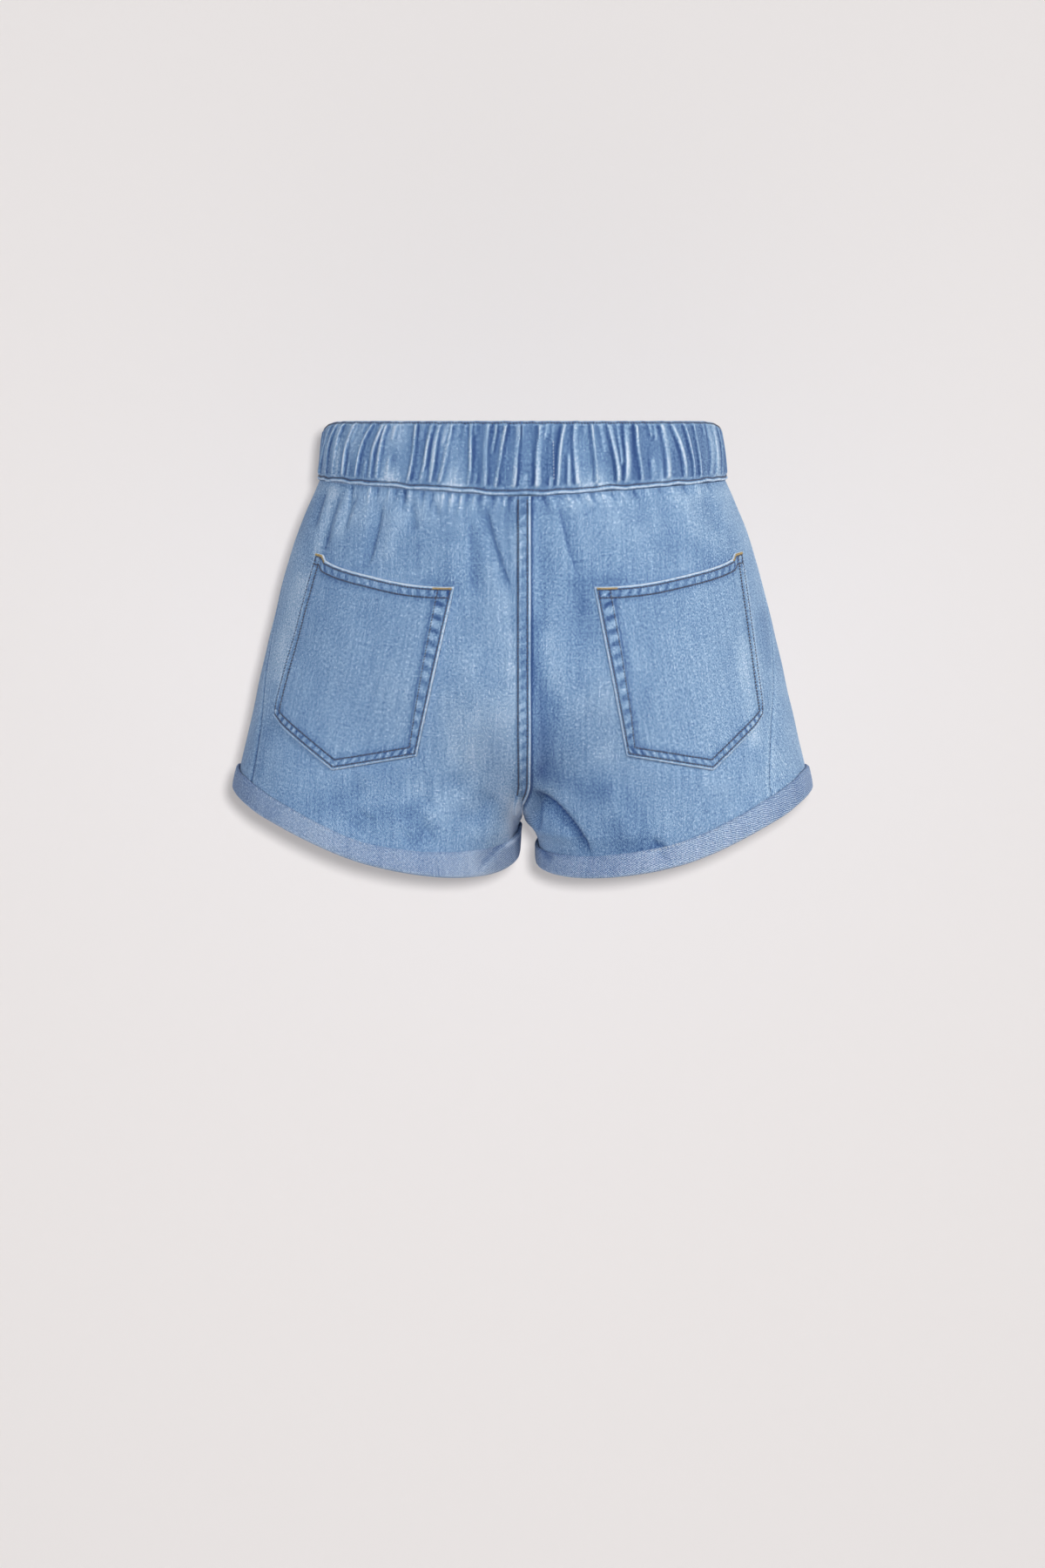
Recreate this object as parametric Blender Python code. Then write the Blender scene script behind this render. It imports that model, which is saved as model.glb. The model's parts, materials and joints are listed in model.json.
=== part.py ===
"""Elastic-waist denim shorts, filled out as if worn and open at the waist and at both legs.

Units are metres and +Z is up. The wearer faces +Y, so the back is on the -Y side, and the
wearer's left is on the -X side. The origin is in the middle of the waist, at half the height
of the waistband's sides. Lengths in the tables are in millimetres, as their names say.
"""

import bmesh
import bpy
import numpy as np

MM = 0.001

# Cloth and seams
WALL = 1.2 * MM
SEAM_GAP = 0.3 * MM
SEAM_GAP_TURN = 0.14          # degrees of turn that one panel keeps from a side seam or an inseam
LEFT = -1
RIGHT = 1

# Waistband
BAND_TOP = 21.0 * MM          # height of its top edge over the origin
BAND_TOP_DIP = 6.0 * MM       # how much lower that edge is at the two sides
BAND_TOP_DIP_POWER = 16
BAND_SEAM_SIDE = -20.9 * MM   # its lower edge at the sides
BAND_SEAM_BACK_DIP = 10.1 * MM
BAND_SEAM_FRONT_DIP = 4.5 * MM
BAND_SEAM_DIP_POWER = 1.6
BAND_SEAM_ROUNDING = 0.06     # share of the way to the side in which the dip rounds off
BAND_HALF_WIDTH = 147.6 * MM  # outside, at the lower edge
BAND_HALF_DEPTH = 98.0 * MM
BAND_LEAN = 4.4 * MM          # how far its top edge stands in from the lower edge

# The upper part of the panels: sections from the waist seam (share 0) to the hem (share 1).
# The seam turns are where the left and right side seams run, as a turn from the centre back,
# with 180 at the side.
TORSO = {
    "share":       (0.00, 0.06, 0.15, 0.30, 0.50, 0.75, 1.00),
    "half_width":  (146.2, 152.0, 160.4, 171.1, 182.4, 195.0, 207.2),
    "back_depth":  (96.3, 99.5, 104.0, 111.0, 117.5, 121.0, 119.0),
    "front_depth": (96.3, 98.5, 101.0, 103.5, 105.0, 104.0, 101.0),
    "left_seam_turn":  (180.0, 180.0, 178.0, 173.0, 163.0, 151.0, 150.0),
    "right_seam_turn": (180.0, 180.0, 178.0, 172.0, 158.0, 138.0, 132.0),
}

# The leg, as a loop round its own middle
CROTCH_Y = -12.0 * MM
CROTCH_HEIGHT = -262.0 * MM
LEG_BACK_DEPTH = 95.0 * MM
LEG_FRONT_DEPTH = 95.0 * MM
LEG_SQUARENESS = 2.2
INNER_EDGE = {LEFT: 3.4 * MM, RIGHT: 11.8 * MM}   # from the middle to the inseam, at the hem
INNER_EDGE_CURVE = 3.5
# Where the panels end, which is the fold of the cuff: its height, how much lower each leg's
# inner side hangs, and each cuff's height against its usual one.
HEM = {
    "turn":       (0, 22, 50, 90, 135, 157, 180, 225, 270, 315, 360),
    "height":     (-286.0, -294.2, -298.0, -287.6, -257.6, -245.6, -240.8, -251.0, -272.8, -286.0, -286.0),
    "left_drop":  (-2.5, -0.5, 0.0, 0.0, 0.0, 0.0, 0.0, 0.0, 0.0, -0.5, -2.5),
    "right_drop": (9.5, 4.0, 0.6, 0.0, -0.8, -0.8, 0.0, 0.0, 0.0, 3.0, 9.5),
    "left_cuff":  (1.08, 1.15, 1.18, 0.95, 1.04, 1.03, 1.00, 1.00, 1.00, 1.05, 1.08),
    "right_cuff": (0.90, 0.95, 1.00, 1.03, 1.08, 1.08, 1.00, 1.00, 1.00, 0.95, 0.90),
}

# How the torso turns into the legs
SEAT_CURVE_START = 0.50       # share of the way down where the centre seams start to turn under
SEAT_CURVE_POWER = 2.5
LEG_BLEND = (0.45, 1.05)      # shares between which the cloth beside them turns into a leg
SEAT_WIDTH = 0.12             # how far the centre seams' curve reaches into a panel

# Cuffs: the hem turned up once, outside the leg
CUFF_ROLL = 2.2 * MM          # height of the rolled edge below the panels
CUFF_SECTION = {              # outward from the panel and up from the lowest edge, in millimetres
    "out": (0.4, 0.4, 0.4, -1.1, -1.3, 0.0, 1.6, 2.6, 3.0, 2.8, 2.0),
    "up":  (15.6, 8.4, 1.9, 1.9, 0.8, 0.0, 0.2, 1.6, 6.0, 14.6, 16.0),
}

# Back pockets: where their corners are seen from behind, and the patch's own form
POCKET_CORNERS = {            # x and height in millimetres
    LEFT: {
        "inner_top": (-47.5, -94.2),
        "outer_top": (-146.6, -72.4),
        "inner_bottom": (-74.3, -212.5),
        "point": (-133.5, -223.9),
        "outer_bottom": (-179.0, -189.3),
    },
    RIGHT: {
        "inner_top": (49.9, -94.2),
        "outer_top": (156.2, -71.9),
        "inner_bottom": (73.1, -212.5),
        "point": (134.1, -223.9),
        "outer_bottom": (172.5, -188.5),
    },
}
POCKET_MOUTH_SAG = 6.4 * MM
POCKET_MOUTH_POWERS = (2, 5)  # how the sag dies away towards the inner and the outer corner
POCKET_POINT_SHARE = 0.56     # how far along the lower edge the point is
POCKET_GAP = 0.5 * MM

# Felled centre seams: a strip over both panels' edges
FELL = {"across": (-5.2, -2.6, -0.8, 0.8, 2.8, 5.6)}
FELL_GAP = 0.4 * MM
FELL_THICKNESS = 1.0 * MM
SEAT_SEAM_END = 0.88          # share of the panel where the strip turns under, out of sight
FRONT_SEAM_END = 0.86

# Folds that hang from the waist seam or lie round the legs, seen from behind or from the
# front: where each starts and ends, how far it bows sideways, how deep and how wide it is.
FOLD_COLUMNS = ("x0", "z0", "x1", "z1", "bow", "depth", "width")
BACK_FOLDS = (
    (-128, -30, -141, -73, -2, 1.6, 4.5),
    (-116, -28, -126, -58, -1, 1.2, 4.0),
    (-99, -38, -109, -84, 2, 1.6, 5.0),
    (-82, -31, -76, -60, 2, 1.6, 5.5),
    (-64, -30, -58, -48, 0, 1.0, 4.0),
    (-36, -50, -33, -100, -1, 1.6, 5.0),
    (-22, -38, -6, -96, -2, 1.9, 5.0),
    (26, -34, 41, -90, -2, 1.7, 5.0),
    (47, -31, 49, -46, 0, 0.8, 4.0),
    (96, -30, 104, -62, 1, 1.0, 5.0),
    (128, -26, 140, -60, 1, 1.0, 5.0),
    (-27, -236, -46, -277, 3, 1.8, 8.0),
    (14, -160, 17, -236, 2, 2.2, 7.0),
    (3, -238, 50, -287, 6, 3.4, 5.0),
)
FRONT_FOLDS = (
    (-120, -27, -132, -70, -2, 1.5, 5.0),
    (-94, -28, -101, -62, 1, 1.3, 5.0),
    (-66, -28, -72, -84, 2, 1.7, 5.5),
    (-38, -28, -36, -58, -1, 1.1, 4.5),
    (-18, -30, -26, -90, 2, 1.6, 5.0),
    (21, -30, 30, -82, -2, 1.7, 5.0),
    (48, -28, 52, -60, 1, 1.2, 4.5),
    (74, -28, 84, -92, 2, 1.6, 5.5),
    (104, -28, 112, -58, -1, 1.2, 5.0),
    (131, -27, 141, -66, 1, 1.3, 5.0),
    (-14, -228, -74, -204, -6, 2.2, 7.0),
    (14, -228, 76, -208, 6, 2.2, 7.0),
)
FOLD_TAPER = 0.3              # share of a fold's length in which each end dies away
FOLD_FREE = 0.05              # share of the panel below the waist seam that the sewing holds flat

# Gathers of the waistband seen from behind. A full gather runs from the lower row of sewing
# to the top edge: x at the top, the middle and the bottom, and how far it stands out.
FULL_GATHERS = {
    "top": (-135.0, -130.5, -125.0, -117.5, -104.0, -96.0, -93.5, -73.5, -62.5, -56.5,
            -48.0, -35.5, -23.5, -10.0, -2.0, 12.0, 29.0, 36.5, 47.5, 58.5,
            71.0, 78.0, 96.5, 103.5, 112.5, 120.0, 129.5, 134.0, 138.0),
    "middle": (-142.5, -138.0, -132.5, -124.5, -114.0, -104.5, -100.0, -76.5, -67.0, -61.0,
               -53.5, -36.0, -25.0, -15.5, -3.5, 10.0, 25.5, 36.0, 50.5, 64.0,
               72.0, 81.0, 100.5, 111.5, 119.0, 124.0, 133.0, 137.5, 142.0),
    "bottom": (-145.5, -140.0, -134.5, -127.0, -117.5, -107.5, -102.0, -80.5, -72.5, -64.5,
               -58.5, -38.5, -26.0, -19.0, -6.5, 8.5, 24.0, 39.0, 51.5, 66.0,
               71.5, 84.0, 101.5, 114.5, 121.5, 126.0, 133.0, 137.5, 142.0),
    "height": (1.6, 1.6, 1.8, 2.0, 2.0, 2.0, 2.2, 2.2, 2.2, 2.0,
               2.3, 2.3, 2.4, 2.4, 2.4, 2.4, 2.4, 2.0, 2.4, 2.4,
               2.2, 2.4, 2.2, 2.3, 2.0, 2.0, 1.0, 1.2, 1.2),
}
# A short gather starts at one edge of the band and dies away between two full ones.
UPPER_GATHERS = {
    "x": (-114.5, -108.5, -86.5, -67.5, -51.0, -43.0, -39.0, -32.5, -17.5, 1.5,
          17.0, 21.5, 42.5, 52.5, 65.0, 87.5, 90.5, 126.5),
    "length": (0.30, 0.15, 0.25, 0.25, 0.30, 0.20, 0.20, 0.15, 0.40, 0.15,
               0.20, 0.25, 0.15, 0.40, 0.60, 0.20, 0.25, 0.20),
    "height": (1.0, 0.9, 1.0, 1.0, 1.2, 1.0, 1.2, 0.8, 1.6, 0.9,
               1.0, 1.2, 0.8, 1.2, 1.4, 1.0, 1.2, 0.8),
}
LOWER_GATHERS = {
    "x": (-131.0, -123.5, -111.5, -95.0, -69.5, -47.5, -33.0, -0.5, 19.0, 32.0, 91.0),
    "length": (0.30, 0.30, 0.35, 0.40, 0.25, 0.35, 0.25, 0.25, 0.20, 0.50, 0.40),
    "height": (1.0, 1.2, 1.3, 1.0, 1.2, 0.8, 1.2, 1.2, 1.2, 1.6, 1.2),
}
SIDE_GATHERS = 5              # gathers round each side, between those of the back and the front
SIDE_GATHER_STEP = 4.6        # degrees
SIDE_GATHER_HEIGHT = 0.9
GATHER_FOOT = 1.9 * MM        # half the width of a gather's foot
GATHER_ENDS = (0.10, 0.955)   # shares of the band's height between the two rows of sewing
GATHER_FADE = 0.1
FOOT_ROOM = 0.42              # share of the way to the next crest that a foot may take
BAND_SECTION = {              # share of the height and outward offset in millimetres
    "share": (0.0, 0.05, 0.115, 0.28, 0.58, 0.87, 1.0, 1.0, 0.0),
    "out": (-0.8, 0.5, -0.2, 0.4, 0.6, 0.2, -1.4, -3.6, -4.4),
    "gathered": (0, 0, 1, 1, 1, 1, 0, 0, 0),
}

# How finely the cloth is divided
PANEL_ROWS = (0.002, 0.04, 0.09, 0.14, 0.20, 0.27, 0.34, 0.42, 0.50, 0.58, 0.66, 0.73,
              0.79, 0.84, 0.875, 0.893, 0.906, 0.925, 0.95, 0.973, 1.0)
BACK_COLUMNS = 22
FRONT_COLUMNS = 19
BACK_CROWDING = 1.2           # the back's columns lie closer towards the centre seam
FRONT_CROWDING = 1.0
POCKET_COLUMNS = 12
POCKET_ROWS = 11

COLOURS = {
    "denim_left": "#7C9BC4",
    "denim_right": "#88A7CC",
    "denim_front": "#7796C0",
    "waistband": "#6483B4",
    "cuff": "#A3B9D6",
    "pocket": "#8FAFD2",
    "seam": "#6F8FBB",
}
DENIM_ROUGHNESS = 0.9


# ---------------------------------------------------------------- curves and sections

def smooth(knots, values, x):
    """A smooth curve through a table's points."""
    knots = np.asarray(knots, float)
    values = np.asarray(values, float)
    slopes = np.gradient(values, knots)
    i = np.clip(np.searchsorted(knots, x, side="right") - 1, 0, len(knots) - 2)
    width = knots[i + 1] - knots[i]
    t = (x - knots[i]) / width
    rise = (1 + 2 * t) * (1 - t) ** 2 * values[i] + t * t * (3 - 2 * t) * values[i + 1]
    bend = t * (1 - t) ** 2 * slopes[i] - t * t * (1 - t) * slopes[i + 1]
    return rise + bend * width


def ease(x):
    """0 below 0, 1 above 1, and a soft S between."""
    x = np.clip(x, 0.0, 1.0)
    return x * x * (3 - 2 * x)


def torso(column, share):
    return smooth(TORSO["share"], TORSO[column], share) * MM


def seam_turn(share, side):
    column = "left_seam_turn" if side == LEFT else "right_seam_turn"
    return smooth(TORSO["share"], TORSO[column], share)


def squared(angle, squareness):
    """How far a rounded square reaches beyond its ellipse at this angle."""
    reach = np.abs(np.sin(angle)) ** squareness + np.abs(np.cos(angle)) ** squareness
    return reach ** (-1 / squareness)


def waist_seam_height(turn):
    """The lower edge of the waistband, which dips at the back and a little at the front."""
    turn = np.asarray(turn)
    from_centre = np.hypot(np.minimum(turn, 360 - turn) / 180, BAND_SEAM_ROUNDING)
    at_side = np.hypot(1.0, BAND_SEAM_ROUNDING)
    toward_centre = (at_side - from_centre) / (at_side - BAND_SEAM_ROUNDING)
    dip = np.where(turn < 180, BAND_SEAM_BACK_DIP, BAND_SEAM_FRONT_DIP)
    return BAND_SEAM_SIDE - dip * np.clip(toward_centre, 0.0, 1.0) ** BAND_SEAM_DIP_POWER


def at_hem(column, turn):
    return smooth(HEM["turn"], HEM[column], turn)


def crotch_share():
    """How far down the centre seams the crotch is."""
    top = float(waist_seam_height(0.0))
    return (CROTCH_HEIGHT - top) / (float(at_hem("height", 0.0)) * MM - top)


def leg_share(turn, share):
    """How much of the leg's loop, rather than the torso's section, the cloth follows."""
    down = np.clip((share - SEAT_CURVE_START) / (crotch_share() - SEAT_CURVE_START), 0.0, 1.0)
    at_seam = 1 - np.sqrt(1 - down ** SEAT_CURVE_POWER)
    beside = ease((share - LEG_BLEND[0]) / (LEG_BLEND[1] - LEG_BLEND[0]))
    from_centre = np.minimum(turn, 360 - turn) / 180
    near_seam = np.exp(-((from_centre / SEAT_WIDTH) ** 2))
    return beside + (at_seam - beside) * near_seam


def shell(turn, share, side):
    """The smooth form of one half: turn goes from the centre back (0) round the side (180)
    to the centre front (360), and share from the waist seam (0) to the hem (1)."""
    turn, share = np.broadcast_arrays(np.asarray(turn, float), np.asarray(share, float))
    half_width = torso("half_width", share)
    below = np.clip((share - crotch_share()) / (1 - crotch_share()), 0.0, 1.0)
    inner = INNER_EDGE[side] * (1 - (1 - below) ** INNER_EDGE_CURVE)

    round_torso = np.radians(turn / 2)
    depth = np.where(turn < 180, torso("back_depth", share), torso("front_depth", share))
    torso_x = half_width * np.sin(round_torso)
    torso_y = -depth * np.cos(round_torso)

    round_leg = np.radians(turn)
    leg_reach = squared(round_leg, LEG_SQUARENESS)
    leg_depth = np.where(turn < 180, LEG_BACK_DEPTH, LEG_FRONT_DEPTH)
    leg_radius = (half_width - inner) / 2
    leg_x = (half_width + inner) / 2 - leg_radius * np.cos(round_leg) * leg_reach
    leg_y = CROTCH_Y - leg_depth * np.sin(round_leg) * leg_reach

    leg = leg_share(turn, share)
    x = (1 - leg) * torso_x + leg * leg_x
    y = (1 - leg) * torso_y + leg * leg_y
    x = x + SEAM_GAP / 2 * (1 - x / half_width)
    drop = at_hem("left_drop" if side == LEFT else "right_drop", turn) * MM
    z = waist_seam_height(turn) * (1 - share) + at_hem("height", turn) * MM * share - drop * below
    return np.stack([side * x, y, z], axis=-1)


def facing(surface, turn, share, side):
    """The outward direction of a surface of turn and share."""
    turn_step, share_step = 0.05, 0.0005
    around = surface(turn + turn_step, share, side) - surface(turn - turn_step, share, side)
    down = surface(turn, share + share_step, side) - surface(turn, share - share_step, side)
    out = np.cross(down, around) * side
    return out / np.linalg.norm(out, axis=-1, keepdims=True)


def fold_depth(x, z, folds):
    """How deep the cloth lies in its folds, at places seen from behind or from the front."""
    depth = np.zeros(np.shape(x))
    for row in folds:
        fold = dict(zip(FOLD_COLUMNS, row))
        start = np.array([fold["x0"], fold["z0"]]) * MM
        run = np.array([fold["x1"], fold["z1"]]) * MM - start
        length = np.linalg.norm(run)
        run = run / length
        along = ((x - start[0]) * run[0] + (z - start[1]) * run[1]) / length
        aside = (x - start[0]) * -run[1] + (z - start[1]) * run[0]
        bow = fold["bow"] * MM * 4 * along * (1 - along)
        ends = ease(along / FOLD_TAPER) * ease((1 - along) / FOLD_TAPER)
        depth += fold["depth"] * MM * ends * np.exp(-((aside - bow) / (fold["width"] * MM)) ** 2)
    return depth


def cloth(turn, share, side, out=0.0):
    """The outside of the panels with their folds, moved out where something lies on it."""
    base = shell(turn, share, side)
    normal = facing(shell, turn, share, side)
    from_behind = fold_depth(base[..., 0], base[..., 2], BACK_FOLDS)
    from_front = fold_depth(base[..., 0], base[..., 2], FRONT_FOLDS)
    seen_from_behind = ease(0.5 - normal[..., 1] * 1.5)
    folds = from_behind * seen_from_behind + from_front * (1 - seen_from_behind)
    folds = folds * ease(share / FOLD_FREE)
    return base + normal * (np.asarray(out) - folds)[..., None]


def find_on_back(x, z, side):
    """The turn and share of the place on the back that is seen at x and z, by Newton's method."""
    turn_step, share_step = 0.1, 0.001
    share = np.clip((z - BAND_SEAM_SIDE) / (CROTCH_HEIGHT - BAND_SEAM_SIDE), 0.02, 0.98)
    turn = np.degrees(np.arcsin(np.clip(np.abs(x) / torso("half_width", share), 0.0, 0.98))) * 2
    for _ in range(12):
        here = shell(turn, share, side)
        by_turn = (shell(turn + turn_step, share, side) - here) / turn_step
        by_share = (shell(turn, share + share_step, side) - here) / share_step
        miss_x = x - here[..., 0]
        miss_z = z - here[..., 2]
        area = by_turn[..., 0] * by_share[..., 2] - by_turn[..., 2] * by_share[..., 0]
        turn = turn + (miss_x * by_share[..., 2] - miss_z * by_share[..., 0]) / area
        share = share + (by_turn[..., 0] * miss_z - by_turn[..., 2] * miss_x) / area
        turn = np.clip(turn, 1.0, 175.0)
    return turn, share


# ---------------------------------------------------------------- making solids

def clear_scene():
    for old in list(bpy.data.objects):
        bpy.data.objects.remove(old, do_unlink=True)


def linear(hex_colour):
    """An sRGB hex colour as linear RGBA."""
    channels = [int(hex_colour[i:i + 2], 16) / 255 for i in (1, 3, 5)]
    return [c / 12.92 if c <= 0.04045 else ((c + 0.055) / 1.055) ** 2.4 for c in channels] + [1.0]


def denim(name, hex_colour):
    material = bpy.data.materials.new(name)
    material.use_nodes = True
    shader = material.node_tree.nodes["Principled BSDF"]
    shader.inputs["Base Color"].default_value = linear(hex_colour)
    shader.inputs["Roughness"].default_value = DENIM_ROUGHNESS
    shader.inputs["Metallic"].default_value = 0.0
    return material


def add_object(name, mesh, colour, collection):
    piece = bpy.data.objects.new(name, mesh)
    mesh.materials.append(denim(name + "_denim", COLOURS[colour]))
    collection.objects.link(piece)
    return piece


def ring_of(name, sections):
    """A closed ring through its sections, each a closed loop of points."""
    rows, columns = sections.shape[:2]
    build = bmesh.new()
    points = [[build.verts.new(point) for point in row] for row in sections]
    for i in range(rows):
        row, following = points[i], points[(i + 1) % rows]
        for j in range(columns):
            after = (j + 1) % columns
            build.faces.new((row[j], following[j], following[after], row[after]))
    mesh = bpy.data.meshes.new(name)
    build.to_mesh(mesh)
    build.free()
    return mesh


def walled(name, outside, inside, colour, collection):
    """A sheet of cloth with a wall: its outside and inside points, in rows, and its edges."""
    rows, columns = outside.shape[:2]
    build = bmesh.new()
    outer = [[build.verts.new(point) for point in row] for row in outside]
    inner = [[build.verts.new(point) for point in row] for row in inside]
    for i in range(rows - 1):
        for j in range(columns - 1):
            build.faces.new((outer[i][j + 1], outer[i + 1][j + 1], outer[i + 1][j], outer[i][j]))
            build.faces.new((inner[i][j], inner[i + 1][j], inner[i + 1][j + 1], inner[i][j + 1]))
    edge = [(i, 0) for i in range(rows - 1)]
    edge += [(rows - 1, j) for j in range(columns - 1)]
    edge += [(i, columns - 1) for i in range(rows - 1, 0, -1)]
    edge += [(0, j) for j in range(columns - 1, 0, -1)]
    for (i, j), (k, m) in zip(edge, edge[1:] + edge[:1]):
        build.faces.new((inner[k][m], inner[i][j], outer[i][j], outer[k][m]))
    mesh = bpy.data.meshes.new(name)
    build.to_mesh(mesh)
    build.free()
    return add_object(name, mesh, colour, collection)


def sheet_on(name, turn, share, side, low, high, colour, collection):
    """A wall of cloth over these places of one half, between two distances from its outside.
    It keeps off the middle plane, where the other half begins."""
    outside = cloth(turn, share, side, high)
    inside = cloth(turn, share, side, low)
    for points in (outside, inside):
        points[..., 0] = side * np.maximum(side * points[..., 0], SEAM_GAP / 2)
    if side == LEFT:
        outside, inside = outside[::-1], inside[::-1]
    return walled(name, outside, inside, colour, collection)


# ---------------------------------------------------------------- the pieces

def panel_turns(is_back, share, side):
    """The turns of a panel's columns at these shares, in order round the body."""
    count, crowding = (BACK_COLUMNS, BACK_CROWDING) if is_back else (FRONT_COLUMNS, FRONT_CROWDING)
    columns = (np.linspace(0.0, 1.0, count) ** crowding)[:, None]
    seam = seam_turn(share, side)
    start, end = (0.0, seam) if is_back else (seam, 360.0)
    along = columns if is_back else 1 - columns[::-1]
    return start + SEAM_GAP_TURN + along * (end - start - 2 * SEAM_GAP_TURN)


def make_panel(name, side, is_back, colour, collection):
    """A back panel from the centre back to the side seam, or a front one on to the centre."""
    rows = panel_rows()[None, :]
    turn = panel_turns(is_back, rows, side)
    return sheet_on(name, turn, rows + 0 * turn, side, -WALL, 0.0, colour, collection)


def panel_rows():
    """The shares of the panels' rows, the nearest one moved to the crotch."""
    rows = np.array(PANEL_ROWS)
    rows[np.argmin(np.abs(rows - crotch_share()))] = crotch_share()
    return rows


def list_gathers():
    """Every gather in order round the band: its crest's angles from the centre back at the
    bottom, middle and top, the shares of the height between which it shows, and its height."""
    half_width = (BAND_HALF_WIDTH - BAND_LEAN * np.array([0.0, 0.5, 1.0])) / MM
    full_x = np.array([FULL_GATHERS[level] for level in ("bottom", "middle", "top")])
    full = np.degrees(np.arcsin(full_x / half_width[:, None]))
    gathers = [(crest, 0.0, 1.0, height) for crest, height in zip(full.T, FULL_GATHERS["height"])]
    gathers += [(180 - crest, low, high, height) for crest, low, high, height in gathers]
    for table, level, upper in ((UPPER_GATHERS, 2, True), (LOWER_GATHERS, 0, False)):
        for x, length, height in zip(table["x"], table["length"], table["height"]):
            after = int(np.searchsorted(full_x[level], x))
            left, right = full_x[level, after - 1], full_x[level, after]
            part = (x - left) / (right - left)
            crest = full[:, after - 1] * (1 - part) + full[:, after] * part
            gathers.append((crest, 1 - length if upper else 0.0, 1.0 if upper else length, height))
    for middle in (-90, 90):
        for k in range(SIDE_GATHERS):
            angle = middle + (k - (SIDE_GATHERS - 1) / 2) * SIDE_GATHER_STEP
            angle = angle + 360 if angle < -90 else angle
            gathers.append((np.full(3, angle), 0.0, 1.0, SIDE_GATHER_HEIGHT))
    return sorted(gathers, key=lambda gather: gather[0][1])


def band_point(angle, share, out):
    """A point of the waistband's ring at an angle in degrees from the centre back."""
    around = np.radians(angle)
    half_width = BAND_HALF_WIDTH - BAND_LEAN * share
    half_depth = BAND_HALF_DEPTH - BAND_LEAN * share
    turn = np.abs((np.asarray(angle) + 180) % 360 - 180) * 2
    low = waist_seam_height(turn)
    high = BAND_TOP - BAND_TOP_DIP * np.abs(np.sin(around)) ** BAND_TOP_DIP_POWER
    outward = np.stack([np.sin(around) / half_width, -np.cos(around) / half_depth], axis=-1)
    outward = outward / np.linalg.norm(outward, axis=-1, keepdims=True)
    x = half_width * np.sin(around) + outward[..., 0] * out
    y = -half_depth * np.cos(around) + outward[..., 1] * out
    return np.stack([x, y, low + (high - low) * share], axis=-1)


def band_columns(gathers, share):
    """The columns of the band's ring at one height: both feet and the crest of each gather,
    as angles, and how far each stands out."""
    levels = ((1 - share) * (1 - 2 * share), 4 * share * (1 - share), share * (2 * share - 1))
    crests = np.array([np.dot(levels, gather[0]) for gather in gathers])
    before = (crests - np.roll(crests, 1)) % 360
    after = (np.roll(crests, -1) - crests) % 360
    speed = np.hypot(BAND_HALF_WIDTH * np.cos(np.radians(crests)),
                     BAND_HALF_DEPTH * np.sin(np.radians(crests)))
    foot = np.degrees(GATHER_FOOT / speed)
    from_sewing = ease((share - GATHER_ENDS[0]) / GATHER_FADE)
    to_edge = ease((GATHER_ENDS[1] - share) / GATHER_FADE)
    angles, heights = [], []
    for k, (_, low, high, height) in enumerate(gathers):
        shows = ease((share - low) / GATHER_FADE + 1) * ease((high - share) / GATHER_FADE + 1)
        left_foot = crests[k] - min(foot[k], before[k] * FOOT_ROOM)
        right_foot = crests[k] + min(foot[k], after[k] * FOOT_ROOM)
        angles += [left_foot, crests[k], right_foot]
        heights += [0.0, height * MM * shows * from_sewing * to_edge, 0.0]
    return np.array(angles), np.array(heights)


def make_waistband(collection):
    """The gathered band: a closed tube of cloth, with a plain inside."""
    gathers = list_gathers()
    sections = []
    for share, out, gathered in zip(*BAND_SECTION.values()):
        angles, heights = band_columns(gathers, share)
        sections.append(band_point(angles, share, out * MM + heights * gathered))
    ring = np.stack(sections, axis=1)
    return add_object("waistband", ring_of("waistband", ring), "waistband", collection)


def make_cuff(name, side, collection):
    """The turned-up hem, round the leg and rolled under the panels' lower edges."""
    back_turns = panel_turns(True, 1.0, side)[:, 0]
    front_turns = panel_turns(False, 1.0, side)[1:-1, 0]
    hem_turns = np.concatenate([back_turns, front_turns])
    seam_at_hem = seam_turn(1.0, side)
    rise = 0.01
    slope = cloth(hem_turns, 1.0, side) - cloth(hem_turns, 1.0 - rise, side)
    slope = np.linalg.norm(slope, axis=-1) / rise
    sections = []
    taller = at_hem("left_cuff" if side == LEFT else "right_cuff", hem_turns) - 1
    for out, up in zip(CUFF_SECTION["out"], CUFF_SECTION["up"]):
        stretch = 1 + taller * up / CUFF_SECTION["up"][-1]
        share = 1 - (up * stretch * MM - CUFF_ROLL) / slope
        seam_here = seam_turn(share, side)
        turns = np.where(
            np.arange(len(hem_turns)) < BACK_COLUMNS,
            hem_turns * seam_here / seam_at_hem,
            360 - (360 - hem_turns) * (360 - seam_here) / (360 - seam_at_hem),
        )
        sections.append(cloth(turns, share, side, out * MM))
    ring = np.stack(sections, axis=1)
    if side == LEFT:
        ring = ring[::-1]
    return add_object(name, ring_of(name, ring), "cuff", collection)


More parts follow.
